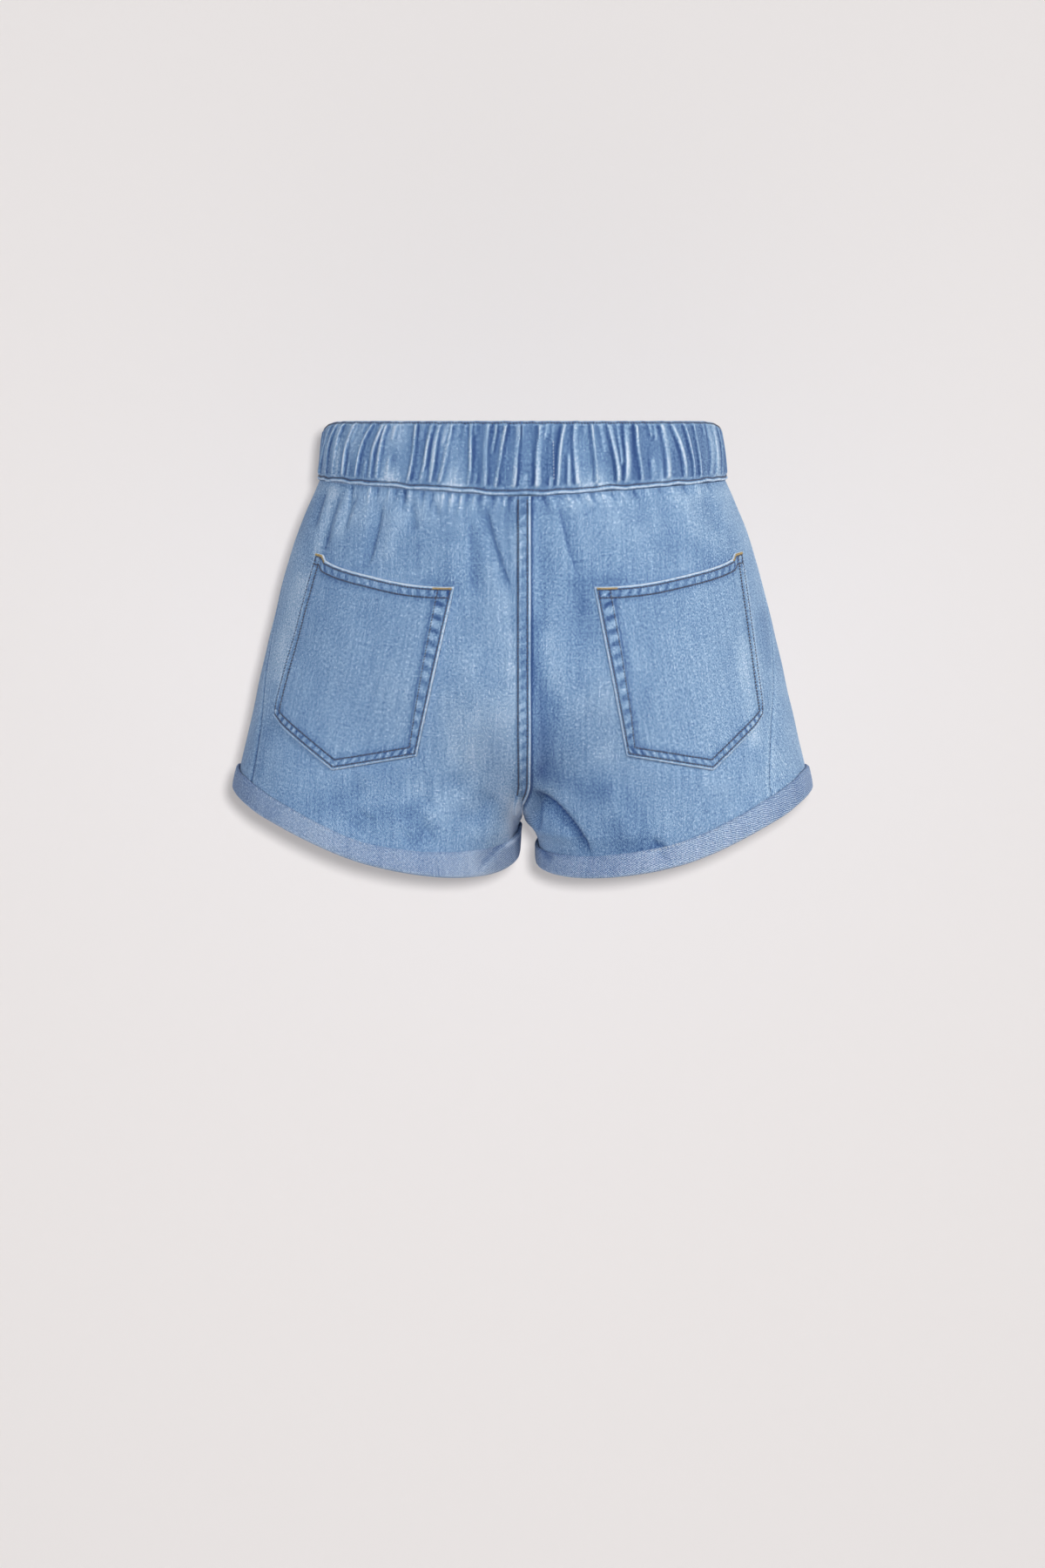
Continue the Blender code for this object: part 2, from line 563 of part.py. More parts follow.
def pocket_place(across, down, side):
    """Where a place on the pocket patch is seen from behind: across from its inner to its
    outer edge, down from the mouth to the pointed lower edge."""
    corners = {name: np.array(at) * MM for name, at in POCKET_CORNERS[side].items()}
    across = np.asarray(across, float)[..., None]
    down = np.asarray(down, float)[..., None]
    mouth = corners["inner_top"] * (1 - across) + corners["outer_top"] * across
    inner_power, outer_power = POCKET_MOUTH_POWERS
    from_middle = np.abs(2 * across - 1)
    sag = POCKET_MOUTH_SAG * (1 - from_middle ** np.where(across < 0.5, inner_power, outer_power))
    mouth = mouth - sag * np.array([0.0, 1.0])
    to_point = np.clip(across / POCKET_POINT_SHARE, 0.0, 1.0)
    past_point = np.clip((across - POCKET_POINT_SHARE) / (1 - POCKET_POINT_SHARE), 0.0, 1.0)
    foot = corners["inner_bottom"] * (1 - to_point) + corners["point"] * to_point
    foot = foot + (corners["outer_bottom"] - corners["point"]) * past_point
    return mouth * (1 - down) + foot * down


def make_pocket(name, side, collection):
    """A patch on the back panel, a little thicker along its mouth."""
    before = np.linspace(0.0, POCKET_POINT_SHARE, POCKET_COLUMNS // 2 + 1)
    past = np.linspace(POCKET_POINT_SHARE, 1.0, POCKET_COLUMNS // 2)[1:]
    across = np.concatenate([before, past])[:, None]
    down = np.linspace(0.0, 1.0, POCKET_ROWS)[None, :]
    place = pocket_place(across + 0 * down, down + 0 * across, side)
    turn, share = find_on_back(place[..., 0], place[..., 1], side)
    outer = POCKET_GAP + WALL
    return sheet_on(name, turn, share, side, POCKET_GAP, outer, "pocket", collection)


def make_fell(name, is_back, end, collection):
    """The felled strip over a centre seam, from under the waistband down to the crotch."""
    rows = np.array([share for share in PANEL_ROWS if share < end])
    low, high = [], []
    for across in FELL["across"]:
        side = LEFT if across < 0 else RIGHT
        centre = 0.0 if is_back else 360.0
        inward = 1.0 if is_back else -1.0
        near = shell(centre + inward, rows, side)
        far = shell(centre + inward * 2, rows, side)
        per_degree = np.linalg.norm(far - near, axis=-1)
        turn = centre + inward * abs(across) * MM / per_degree
        low.append(cloth(turn, rows, side, FELL_GAP))
        high.append(cloth(turn, rows, side, FELL_GAP + FELL_THICKNESS))
    order = 1 if is_back else -1
    return walled(name, np.stack(high)[::order], np.stack(low)[::order], "seam", collection)


def make_shorts():
    clear_scene()
    shorts = bpy.data.collections.new("denim_shorts")
    bpy.context.scene.collection.children.link(shorts)
    make_waistband(shorts)
    for side, word in ((LEFT, "left"), (RIGHT, "right")):
        make_panel("back_" + word, side, True, "denim_" + word, shorts)
        make_panel("front_" + word, side, False, "denim_front", shorts)
        make_pocket("pocket_" + word, side, shorts)
        make_cuff("cuff_" + word, side, shorts)
    make_fell("seat_seam", True, SEAT_SEAM_END, shorts)
    make_fell("front_seam", False, FRONT_SEAM_END, shorts)


make_shorts()
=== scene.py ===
"""Elastic-waist denim shorts, filled out as if worn, dressed over their CAD frame.

Units are metres and +Z is up. The wearer faces +Y, so the back is on the -Y side, and the
wearer's left is on the -X side. Lengths in the tables are in millimetres. Every sheet of
cloth is worked out from the same sections as the frame's solids, at a finer step.
"""

import json

import bpy
import numpy as np
from bpy.props import FloatProperty, FloatVectorProperty, IntProperty, PointerProperty
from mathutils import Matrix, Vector

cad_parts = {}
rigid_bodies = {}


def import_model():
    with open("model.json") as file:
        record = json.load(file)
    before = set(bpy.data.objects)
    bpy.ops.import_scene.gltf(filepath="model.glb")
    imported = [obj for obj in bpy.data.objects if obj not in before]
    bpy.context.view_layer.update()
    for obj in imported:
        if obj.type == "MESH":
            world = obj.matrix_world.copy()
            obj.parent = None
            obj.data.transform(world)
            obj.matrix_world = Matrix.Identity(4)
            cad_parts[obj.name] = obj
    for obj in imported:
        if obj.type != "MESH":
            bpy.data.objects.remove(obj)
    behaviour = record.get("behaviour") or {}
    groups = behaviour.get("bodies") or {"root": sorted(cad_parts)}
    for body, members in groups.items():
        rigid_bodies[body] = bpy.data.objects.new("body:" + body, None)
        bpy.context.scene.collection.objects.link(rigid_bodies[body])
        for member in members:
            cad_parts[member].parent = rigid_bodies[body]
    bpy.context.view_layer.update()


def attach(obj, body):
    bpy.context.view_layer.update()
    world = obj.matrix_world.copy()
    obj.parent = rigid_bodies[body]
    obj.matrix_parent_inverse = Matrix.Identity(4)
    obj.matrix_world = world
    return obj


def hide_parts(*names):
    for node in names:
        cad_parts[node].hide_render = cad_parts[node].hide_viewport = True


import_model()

bl_info = {
    "name": "Denim shorts",
    "version": (1, 0, 0),
    "blender": (4, 5, 0),
    "location": "3D Viewport > Sidebar > Shorts",
    "description": "Makes elastic-waist denim shorts from their cut, sewing and wear",
    "category": "Add Mesh",
}

MM = 0.001
LEFT = -1
RIGHT = 1
SIDES = {LEFT: "left", RIGHT: "right"}
SEED = 7

# ---------------------------------------------------------------- the cut, as in the frame

SEAM_GAP = 0.3                # between the left and the right half
SEAM_GAP_TURN = 0.14          # degrees of turn that each panel keeps from its seams

# The band's ring: its top and its lower edge, and half its size at that edge.
BAND_TOP = 21.0
BAND_TOP_DIP = 6.0            # how much lower the top edge is at the two sides
BAND_TOP_DIP_POWER = 36
BAND_SEAM_SIDE = -20.9
BAND_SEAM_BACK_DIP = 10.1
BAND_SEAM_FRONT_DIP = 4.5
BAND_SEAM_DIP_POWER = 1.6
BAND_SEAM_ROUNDING = 0.06
BAND_HALF_WIDTH = 147.6
BAND_HALF_DEPTH = 98.0
BAND_LEAN = 4.4               # how much nearer the middle its top is

# The torso's sections, by their share of the way from the waist seam to the hem.
TORSO = {
    "share": (0, 0.06, 0.15, 0.3, 0.5, 0.75, 1),
    "half_width": (146.2, 152, 160.4, 171.1, 182.4, 195, 207.2),
    "back_depth": (96.3, 99.5, 104, 111, 117.5, 121, 119),
    "front_depth": (96.3, 98.5, 101, 103.5, 105, 104, 101),
    "left_seam_turn": (180, 180, 178, 173, 163, 151, 150),
    "right_seam_turn": (180, 180, 178, 172, 158, 138, 132),
}
CROTCH_Y = -12.0
CROTCH_HEIGHT = -262.0
LEG_DEPTH = 95.0
LEG_SQUARENESS = 2.2
INNER_EDGE = {LEFT: 3.4, RIGHT: 11.8}   # how far from the middle each leg's hem begins
INNER_EDGE_CURVE = 3.5

# The hem, by its turn round the leg from the centre back.
HEM = {
    "turn": (0, 22, 50, 90, 135, 157, 180, 225, 270, 315, 360),
    "height": (-286, -294.2, -298, -287.6, -257.6, -245.6, -240.8, -251, -272.8, -286, -286),
    "left_drop": (-2.5, -0.5, 0, 0, 0, 0, 0, 0, 0, -0.5, -2.5),
    "right_drop": (9.5, 4, 0.6, 0, -0.8, -0.8, 0, 0, 0, 3, 9.5),
    "left_cuff": (1.08, 1.15, 1.18, 0.95, 1.04, 1.03, 1, 1, 1, 1.05, 1.08),
    "right_cuff": (0.9, 0.95, 1, 1.03, 1.08, 1.08, 1, 1, 1, 0.95, 0.9),
}
SEAT_CURVE_START = 0.50
SEAT_CURVE_POWER = 2.5
LEG_BLEND = (0.45, 1.05)
SEAT_WIDTH = 0.12

# The turned-up hem's section: how far out from the panel and how far up from its lowest edge.
CUFF_ROLL = 2.2
CUFF_SECTION = {
    "out": (0.4, 0.4, 0.4, -1.1, -1.3, 0, 1.6, 2.6, 3, 2.8, 2),
    "up": (15.6, 8.4, 1.9, 1.9, 0.8, 0, 0.2, 1.6, 6, 14.6, 16),
}
RAW_EDGE = 15.2

POCKET_CORNERS = {
    LEFT: {
        "inner_top": (-47.5, -94.2),
        "outer_top": (-146.6, -72.4),
        "inner_bottom": (-74.3, -212.5),
        "point": (-133.5, -223.9),
        "outer_bottom": (-179, -189.3),
    },
    RIGHT: {
        "inner_top": (49.9, -94.2),
        "outer_top": (156.2, -71.9),
        "inner_bottom": (73.1, -212.5),
        "point": (134.1, -223.9),
        "outer_bottom": (172.5, -188.5),
    },
}
POCKET_MOUTH_SAG = 6.4
POCKET_MOUTH_POWERS = (2, 5)  # the inner and the outer half of the mouth's curve
POCKET_POINT_SHARE = 0.56
POCKET_GAP = 0.5
POCKET_ROUNDING = 2.4         # how far the foot's outer corner is drawn in
POCKET_SLANT = 0.93           # a column's length to its distance from the slanting foot
POCKET_TAB = 0.925            # share of the mouth past which the corner stands up

FELL_EDGES = (-5.2, 5.6)
FELL_GAP = 0.4
FELL_THICKNESS = 1.0
FELL_SWING = 7.0
FELL_SWING_START = 0.79
FELL_LENGTH = 262.0
SEAM_ENDS = {"seat": 0.88, "front": 0.86}
SEAM_VALLEY_DEPTH = 0.55      # of the side seams and inseams

# The panels' flat cut, width and length in metres and area in square metres.
PANEL_CUTS = {"back": ((0.26, 0.33), 0.057), "front": ((0.385, 0.34), 0.067)}

# ---------------------------------------------------------------- the sewing

# Distances of the rows of stitches from the pocket's edges, and of the inner row by its share
# of the way down.
POCKET_EDGE_ROW = 2.2
POCKET_ROWS = {"outer": 5.8, "mouth": 8.0, "foot": 7.0}
POCKET_INNER_ROW = ((0.0, 0.4, 0.75, 1.0), (13.0, 11.6, 9.6, 7.0))

# Puckers along each edge of a pocket: where they start, how close they are, how strong, and
# how deep the stitches lie.
POCKET_PUCKERS = {
    "inner": (0, 1.0, 1.0, 1.0),
    "outer": (5, 1.0, 0.25, 0.3),
    "mouth": (0, 1.3, 0.8, 1.0),
    "foot": (3, 1.5, 0.9, 1.0),
}
PUCKER_RISE = 0.22
HEM_RISE = 0.45

FELL_STITCH_ROWS = (-3.0, 3.2)
FELL_STITCH_STOPS = (0.060, 0.035)   # how far short of the seam's end each row stops
BAND_STITCH_SHARES = (0.066, 0.974)
BAND_JOIN_ANGLE = 8.6
STITCH_LEAN = 0.32            # how far each stitch leans from its row, as a slope
STITCH_LIFT = 0.1

# Bar tacks at both ends of a pocket's mouth: from where to where across, and how far down.
TACKS = ((0.015, 0.145, 0.012), (0.925, 0.99, 0.010))

# Raw weft ends on each cuff: between which distances from the middle, and how many.
RAW_ENDS = {LEFT: (110, 190, 34), RIGHT: (84, 150, 36)}

# Length and thickness of the threads that aren't topstitching.
TACK_THREAD = (1.9 * MM, 0.55 * MM)
RAW_THREAD = (1.8 * MM, 0.24 * MM)

# ---------------------------------------------------------------- folds and gathers

# Folds seen from behind or from the front: where each starts and ends (x and z), how far it
# bows sideways, how deep it is (a ridge is below zero), how wide it is on its left and its
# right, and how dark the painted shade line along its crease is.
BACK_FOLDS = (
    (-128, -27, -141, -73, -2, 1.9, 5.5, 2.4, 0.5),
    (-139, -24, -149, -58, -1, 1.5, 4, 1.8, 0.5),
    (-116, -28, -127, -58, -1, 1.6, 5, 1.8, 0.35),
    (-99, -33, -111, -84, 2, 1.8, 6, 1.8, 0.4),
    (-82, -29, -76, -60, 2, 1.8, 5.5, 3.5, 0.2),
    (-64, -28, -58, -48, 0, 1.4, 4, 2, 0.3),
    (-36, -46, -33, -104, -1, 2.2, 2.6, 6, 0.2),
    (-27, -32, -6, -100, -2, 2.6, 6, 1.6, 0.65),
    (25, -32, 42, -93, -2, 1.7, 1.7, 5.5, 0.6),
    (47, -29, 49, -46, 0, 1, 4, 2.5, 0.2),
    (96, -28, 104, -64, 1, 1.2, 5, 5, 0),
    (128, -26, 140, -62, 1, 1.3, 5, 5, 0),
    (-20, -238, -42, -262, 3, 1.8, 9, 9, 0),
    (-62, -262, -84, -276, 0, 1.7, 8, 10, 0),
    (-108, -252, -118, -266, 0, 1.6, 8, 8, 0),
    (-44, -232, -68, -262, 0, -1.2, 11, 11, 0),
    (14, -150, 16, -240, 1, 3, 5, 10, 0),
    (4, -236, 50, -288, 6, 4.2, 6.5, 1.8, 1.1),
    (-52, -60, -48, -96, 1, -1.2, 7, 7, 0),
    (-90, -36, -97, -80, 1, -1.4, 4.5, 6, 0),
    (-18, -66, -16, -140, 0, -1, 7, 8, 0),
    (10, -34, 14, -140, 1, 1.3, 3.5, 8, 0),
    (60, -40, 66, -84, 1, -1, 7, 7, 0),
    (82, -30, 88, -78, 0, 1.1, 6, 5, 0),
    (112, -28, 122, -66, 1, -1, 5, 5, 0),
    (-62, -240, -84, -262, -3, 1.4, 9, 9, 0),
    (-38, -222, -70, -232, -3, -1, 11, 11, 0),
    (-3, -262, -14, -278, 1, 0.8, 1.3, 4.5, 0.1),
    (14.5, -247, 11, -273, 0, 1.6, 5, 1.4, 0.6),
    (-108, -232, -140, -246, 2, 1.4, 8, 8, 0),
    (90, -271, 102, -279, 0, 2.2, 4, 1.8, 0.3),
    (62, -232, 82, -276, -2, -1.4, 9, 10, 0),
    (120, -232, 150, -240, 2, -1, 9, 9, 0),
    (106, -84, 118, -226, -4, 1, 10, 12, 0),
    (-104, -90, -118, -222, 4, 1, 12, 10, 0),
    (38, -96, 44, -216, 3, 1.6, 12, 14, 0),
    (-10, -36, -12, -84, 0, 1.2, 10, 6, 0),
    (-34, -130, -40, -232, -3, -1, 10, 10, 0),
)
FRONT_FOLDS = (
    (-120, -27, -132, -70, -2, 2, 5, 2.5, 0.3),
    (-94, -28, -101, -62, 1, 1.6, 5, 4, 0),
    (-66, -28, -72, -88, 2, 2.6, 6.5, 2, 0.5),
    (-38, -28, -36, -58, -1, 1.4, 4.5, 2.5, 0.2),
    (-18, -30, -26, -94, 2, 2.4, 2, 6, 0.5),
    (21, -30, 30, -86, -2, 2.6, 6, 2, 0.5),
    (48, -28, 52, -60, 1, 1.5, 2.5, 4.5, 0.2),
    (74, -28, 84, -94, 2, 2.5, 2, 6.5, 0.5),
    (104, -28, 112, -58, -1, 1.5, 5, 2.5, 0.2),
    (131, -27, 141, -66, 1, 1.5, 5, 4, 0),
    (-14, -228, -74, -204, -6, 3.4, 7, 5, 0.3),
    (14, -228, 76, -208, 6, 3.4, 5, 7, 0.3),
    (-10, -238, -62, -244, -3, 2.2, 6, 4, 0.2),
    (12, -240, 58, -250, 3, 2.2, 4, 6, 0.2),
    (-52, -60, -58, -110, 1, -1.2, 8, 8, 0),
    (60, -64, 68, -120, 1, -1.2, 8, 8, 0),
    (-104, -130, -120, -226, 3, 1.6, 10, 12, 0),
    (112, -126, 124, -222, -3, 1.6, 12, 10, 0),
    (-40, -120, -46, -210, -3, -1.2, 11, 11, 0),
    (42, -120, 50, -214, 3, -1.2, 11, 11, 0),
)
# Folds in the cuffs' backs, as in the panels.
CUFF_FOLDS = (
    (-2, -271, -33, -298, -2, 1.5, 9, 1.4, 0.55),
    (12, -285, 22, -291, 0, 1.6, 2, 3, 0.5),
    (96, -279, 103, -286, 0, 1, 3, 1.6, 0.3),
    (-176, -262, -180, -270, 0, 0.8, 3, 2, 0.3),
    (60, -284, 64, -300, 0, 0.8, 4, 6, 0),
)
FOLD_TAPER = 0.25             # the share of a fold's length in which it begins and ends
FOLD_FREE = 0.05              # the share of the panel that the band holds flat
CREASE_WIDTH = 1.0

# Slow swells of the cloth: how many waves, and between which lengths.
SWELL_WAVES = 14
SWELL_LENGTHS = (22, 75)

# Small tucks that the gathered band leaves in the top of the panels: where each is, seen from
# behind, how far down it reaches and how far it stands out (a dent is below zero).
TUCKS = {
    "x": (-120.5, -107, -102, -93, -88.5, -82.5, -78.5, -69.5, -63, -55, -52, -48.5, -44.5, -42,
          -38.5, -33, -29.5, -25.5, -20, -16.5, -12, -8.5, -4.5, 8, 13.5, 18.5, 30.5, 38, 44, 47.5,
          55, 61, 68.5, 77, 86, 95.5, 104, 113, 122, 131),
    "reach": (9, 7, 5.5, 7, 4.5, 7, 9, 6, 9, 7, 5.5, 8, 6, 9, 6.5, 5.5, 6.5, 6.5, 5.5, 5.5, 7, 6.5,
              4, 3.5, 5.5, 5.5, 6, 4.5, 5.5, 5.5, 5.5, 6, 4.5, 5.5, 5, 4.5, 4.5, 4.5, 4.5, 4.5),
    "height": (-0.8, 0.6, -0.7, 0.6, -0.6, -1, 0.7, -0.7, -0.8, 0.6, -0.6, 0.7, -0.6, 0.6, -0.7,
               0.6, -0.8, 0.7, -0.8, 0.6, 0.7, -0.9, 0.6, 0.5, -0.8, 0.6, 0.8, -0.7, 0.7, -0.9,
               0.6, -0.7, 0.6, -0.8, 0.7, -0.6, 0.6, -0.7, 0.5, -0.5),
}
TUCK_WIDTH = 1.15
TUCK_LEAN = {LEFT: 0.15, RIGHT: 0.50}

# Gathers of the band's whole height: where each crest is at the top, the middle and the bottom,
# and how far it stands out.
FULL_GATHERS = {
    "top": (-135, -130.5, -125, -117.5, -104, -96, -93.5, -73.5, -62.5, -56.5, -48, -35.5, -23.5,
            -10, -2, 12, 29, 36.5, 47.5, 58.5, 71, 78, 96.5, 103.5, 112.5, 120, 129.5, 134, 138),
    "middle": (-142.5, -138, -132.5, -124.5, -114, -104.5, -100, -76.5, -67, -61, -53.5, -36, -25,
               -15.5, -3.5, 10, 25.5, 36, 50.5, 64, 72, 81, 100.5, 111.5, 119, 124, 133, 137.5,
               142),
    "bottom": (-145.5, -140, -134.5, -127, -117.5, -107.5, -102, -80.5, -72.5, -64.5, -58.5, -38.5,
               -26, -19, -6.5, 8.5, 24, 39, 51.5, 66, 71.5, 84, 101.5, 114.5, 121.5, 126, 133,
               137.5, 142),
    "height": (1.6, 1.6, 1.8, 2, 2, 2, 2.2, 2.2, 2.2, 2, 2.3, 2.3, 2.4, 2.4, 2.4, 2.4, 2.4, 2, 2.4,
               2.4, 2.2, 2.4, 2.2, 2.3, 2, 2, 1, 1.2, 1.2),
}
# Shorter ones from its upper and its lower edge, with the share of the height they take up.
UPPER_GATHERS = {
    "x": (-114.5, -108.5, -86.5, -67.5, -51, -43, -39, -32.5, -17.5, 1.5, 17, 21.5, 42.5, 52.5, 65,
          87.5, 90.5, 126.5),
    "length": (0.3, 0.15, 0.25, 0.25, 0.3, 0.2, 0.2, 0.15, 0.4, 0.15, 0.2, 0.25, 0.15, 0.4, 0.6,
               0.2, 0.25, 0.2),
    "height": (1, 0.9, 1, 1, 1.2, 1, 1.2, 0.8, 1.6, 0.9, 1, 1.2, 0.8, 1.2, 1.4, 1, 1.2, 0.8),
}
LOWER_GATHERS = {
    "x": (-131, -123.5, -111.5, -95, -69.5, -47.5, -33, -0.5, 19, 32, 91),
    "length": (0.3, 0.3, 0.35, 0.4, 0.25, 0.35, 0.25, 0.25, 0.2, 0.5, 0.4),
    "height": (1, 1.2, 1.3, 1, 1.2, 0.8, 1.2, 1.2, 1.2, 1.6, 1.2),
}
FRONT_GATHER_HEIGHT = 0.8
SIDE_GATHERS = 5
SIDE_GATHER_STEP = 4.6
SIDE_GATHER_HEIGHT = 0.9
GATHER_OUTER_FOOT = 3.4
GATHER_INNER_FOOT = 1.5
GATHER_WANDER = 0.35
GATHER_ENDS = (0.085, 0.985)
GATHER_FADE = 0.07

# Broad soft swells between the gathers: where each is, its half width and half height, how far
# it stands out and how much paler it is (deeper below 0), which mixes rubbed wear with painted
# highlight and painted shade.
SWELLS = {
    "x": (-88, -94, -47.5, 12, 31, 83, 100, 139, -122, -134, -12, 52, 73, 110, -49, 50, 11, -143,
          -98, -55, 107, 141, 43, 4, 79, -91, -92),
    "half_width": (8, 9, 8, 4, 4.5, 4.5, 6, 7, 10, 5, 4, 9, 4, 5, 10, 13, 6, 4, 7, 5, 9, 4, 5, 4,
                   3.5, 4, 9),
    "middle": (0.85, 0.16, 0.65, 0.55, 0.55, 0.55, 0.14, 0.6, 0.8, 0.5, 0.55, 0.7, 0.5, 0.7, 0.12,
               0.13, 0.35, 0.6, 0.75, 0.75, 0.75, 0.5, 0.6, 0.55, 0.5, 0.42, 0.1),
    "half_height": (0.35, 0.28, 0.5, 0.5, 0.5, 0.5, 0.25, 0.5, 0.45, 0.5, 0.5, 0.4, 0.5, 0.4, 0.22,
                    0.2, 0.4, 0.5, 0.25, 0.3, 0.25, 0.5, 0.3, 0.3, 0.5, 0.15, 0.12),
    "height": (0.7, 0.7, 0.8, 0.7, 0.6, 0.5, 0.7, 0.7, 0.8, 0.4, 0.4, 0.7, 0, 0, 0.3, 0.3, 0, 0, 0,
               0, 0, 0, 0, 0, 0, 0, 0),
    "wear_and_shading": (0.7, 0.85, 0.45, 0.25, 0.1, 0, 0.6, 0.75, 0.55, 1, 0.1, 0.25, -0.35, -0.2, 0.85, 0.8,
             -0.3, 0.5, 0.35, 0.45, 0.35, 0.4, 0.3, 0.3, -0.3, -0.3, 0.1),
}

# The band's section, from the lip at its lower edge up its outside, over the top and down
# its inside: the share of its height, and how far out from its middle line.
BAND_OUTSIDE = {
    "share": (0, 0.008, 0.03, 0.048, 0.066, 0.084, 0.13, 0.3, 0.62, 0.88, 0.95, 0.972, 0.986, 1),
    "out": (-0.8, 0.1, 0.7, 0.4, -0.3, 0.1, 0.25, 0.45, 0.6, 0.35, 0.15, -0.25, -0.2, -1.2),
}
BAND_INSIDE = {
    "share": (1, 0.985, 0.9, 0.5, 0.1, 0, 0),
    "out": (-2.6, -3.4, -3.7, -4.1, -4.4, -4.2, -2.4),
}

# ---------------------------------------------------------------- wear, painted shading and weave

# Broad places on the back painted paler (above 0) or deeper: partly the washing's unevenness,
# partly painted light where the cloth turns into shade, as at the inner legs and the sides, and
# painted shade, as above the pocket mouths. Where each starts and ends, half its width, and how
# much it changes.
WASH_AND_SHADING = (
    (8, -120, 12, -225, 6, -0.17),
    (18, -130, 22, -166, 6, 0.12),
    (-8, -130, -8, -150, 6, 0.14),
    (-52, -172, -50, -206, 8, 0.12),
    (-32, -188, -34, -230, 9, 0.13),
    (-12, -246, -14, -274, 9, 0.14),
    (-14, -175, -14, -240, 13, 0.16),
    (-70, -120, -84, -200, 10, 0.08),
    (48, -92, 66, -90, 6, -0.14),
    (-3, -250, -4, -278, 6, 0.3),
    (84, -276, 92, -280, 9, -0.22),
    (66, -262, 70, -276, 8, -0.18),
    (74, -244, 82, -262, 9, -0.14),
    (-84, -250, -100, -256, 9, -0.15),
    (-120, -254, -142, -250, 9, -0.12),
    (-46, -230, -58, -232, 9, -0.12),
    (52, -150, 60, -206, 13, 0.14),
    (86, -112, 92, -168, 11, -0.1),
    (38, -92, 44, -108, 6, -0.22),
    (-50, -62, -50, -96, 7, -0.14),
    (-158, -94, -174, -160, 7, 0.24),
    (154, -136, 164, -202, 6, 0.24),
    (100, -64, 142, -78, 10, -0.09),
    (-26, -40, 22, -40, 5, -0.14),
    (14, -228, 56, -240, 8, -0.18),
    (-142, -120, -124, -132, 12, -0.06),
    (-150, -188, -132, -196, 11, -0.06),
    (-128, -46, -66, -44, 8, 0.12),
    (56, -60, 62, -84, 12, -0.06),
    (-134, -26, -146, -70, 3.5, 0.2),
    (-121, -28, -130, -58, 3.5, 0.14),
    (-4, -254, -3, -276, 5, 0.4),
    (-62, -31, -44, -33, 4, 0.14),
    (40, -33, 62, -31, 4, 0.14),
    (80, -32, 90, -34, 5, -0.12),
    (-4, -56, -3, -78, 3.5, 0.14),
    (-22, -60, -18, -80, 4, 0.14),
    (84, -58, 88, -70, 7, 0.13),
    (-92, -42, -91, -48, 6, -0.12),
    (-139, -62, -141, -72, 5, -0.14),
    (-108, -82, -118, -84, 5, -0.12),
    (-73, -66, -74, -80, 4, -0.12),
    (-66, -91, -54, -95, 5, -0.12),
    (58, -93, 100, -92, 5, -0.09),
    (100, -92, 146, -80, 5, -0.09),
    (-184, -200, -188, -226, 6, -0.12),
    (172, -120, 176, -150, 6, -0.14),
    (-76, -238, -84, -245, 7, 0.14),
    (-100, -260, -108, -260, 6, 0.1),
    (-34, -250, -33, -268, 6, 0.12),
    (42, -176, 44, -196, 8, 0.1),
    (-6, -152, -6, -164, 5, 0.12),
)
GRAIN_LINE = 95.0             # distance from the middle where the warp hangs plumb

# How pale each turned-up hem is painted along its back, by its distance from the middle: its own
# uneven paleness, with painted light and painted shade near its ends.
CUFF_WEAR_AND_SHADING = {
    LEFT: ((0, 28, 40, 60, 90, 150, 172, 190, 210),
           (-0.04, 0.17, 0.12, 0.00, -0.02, 0.10, 0.03, -0.12, -0.22)),
    RIGHT: ((0, 18, 30, 60, 75, 100, 160, 185, 210),
            (-0.18, -0.08, 0.02, 0.02, 0.04, 0.12, 0.06, -0.12, -0.16)),
}

# How much paler (above 0) or deeper each thing makes the cloth. The first two count for each
# millimetre that the cloth lies in a fold or stands out in a tuck: painted shade in folds and
# dents, painted highlight on fold ridges and raised tucks.
FOLD_SHADING = -0.08
TUCK_SHADING = 0.24
# Painted shade: a dark line along each fold's crease.
CREASE_SHADE = -0.3
SWELL_FADE = 0.03
# Painted shade in the valleys of the side seams and inseams, more on the left side seam.
SIDE_SEAM_DARK = {LEFT: 0.22, RIGHT: 0.05}
INSEAM_DARK = 0.05
LIP_SHADOW = 0.08
LIP_SHADOW_AT_SEAT = 0.18
LIP_SHADOW_WIDTH = 34.0
SEAT_SHADOW = 0.45
# The band: its gathers' ridges rubbed pale and painted highlight, painted shade beside them, the
# band deeper overall, and its swells paler.
RIDGE_WEAR_AND_HIGHLIGHT = 0.70
GATHER_SHADE = -0.36
BAND_FADE = -0.26
SWELL_PALENESS = 0.50
LIP_FADE = 0.36
# Painted shade in the grooves along the rows of stitches, on the band and on the pockets.
BAND_GROOVE_SHADE = -0.44
POCKET_GROOVE_SHADE = -0.36
EDGE_FADE = 0.46
RAW_EDGE_FADE = 0.6

# The weave, in waves or specks a metre of the cut, and how much the ribs, slubs, specks, streaks
# and clouds of each side of the denim count.
WAVES_A_METRE = 0.314         # of the ribs, divided by the twill's spacing
SLUBS_A_METRE = (1050, 430, 1)
SPECKS_A_METRE = 900.0
STREAKS_A_METRE = (480, 30, 1)
CLOUDS_A_METRE = 40.0
RIGHT_SIDE_PARTS = (0.30, 0.85, 1.10, 0.38, 0.12)
WRONG_SIDE_PARTS = (0.95, 0.70, 1.60, 0.30, 0.12)

# ---------------------------------------------------------------- the lights on the shorts

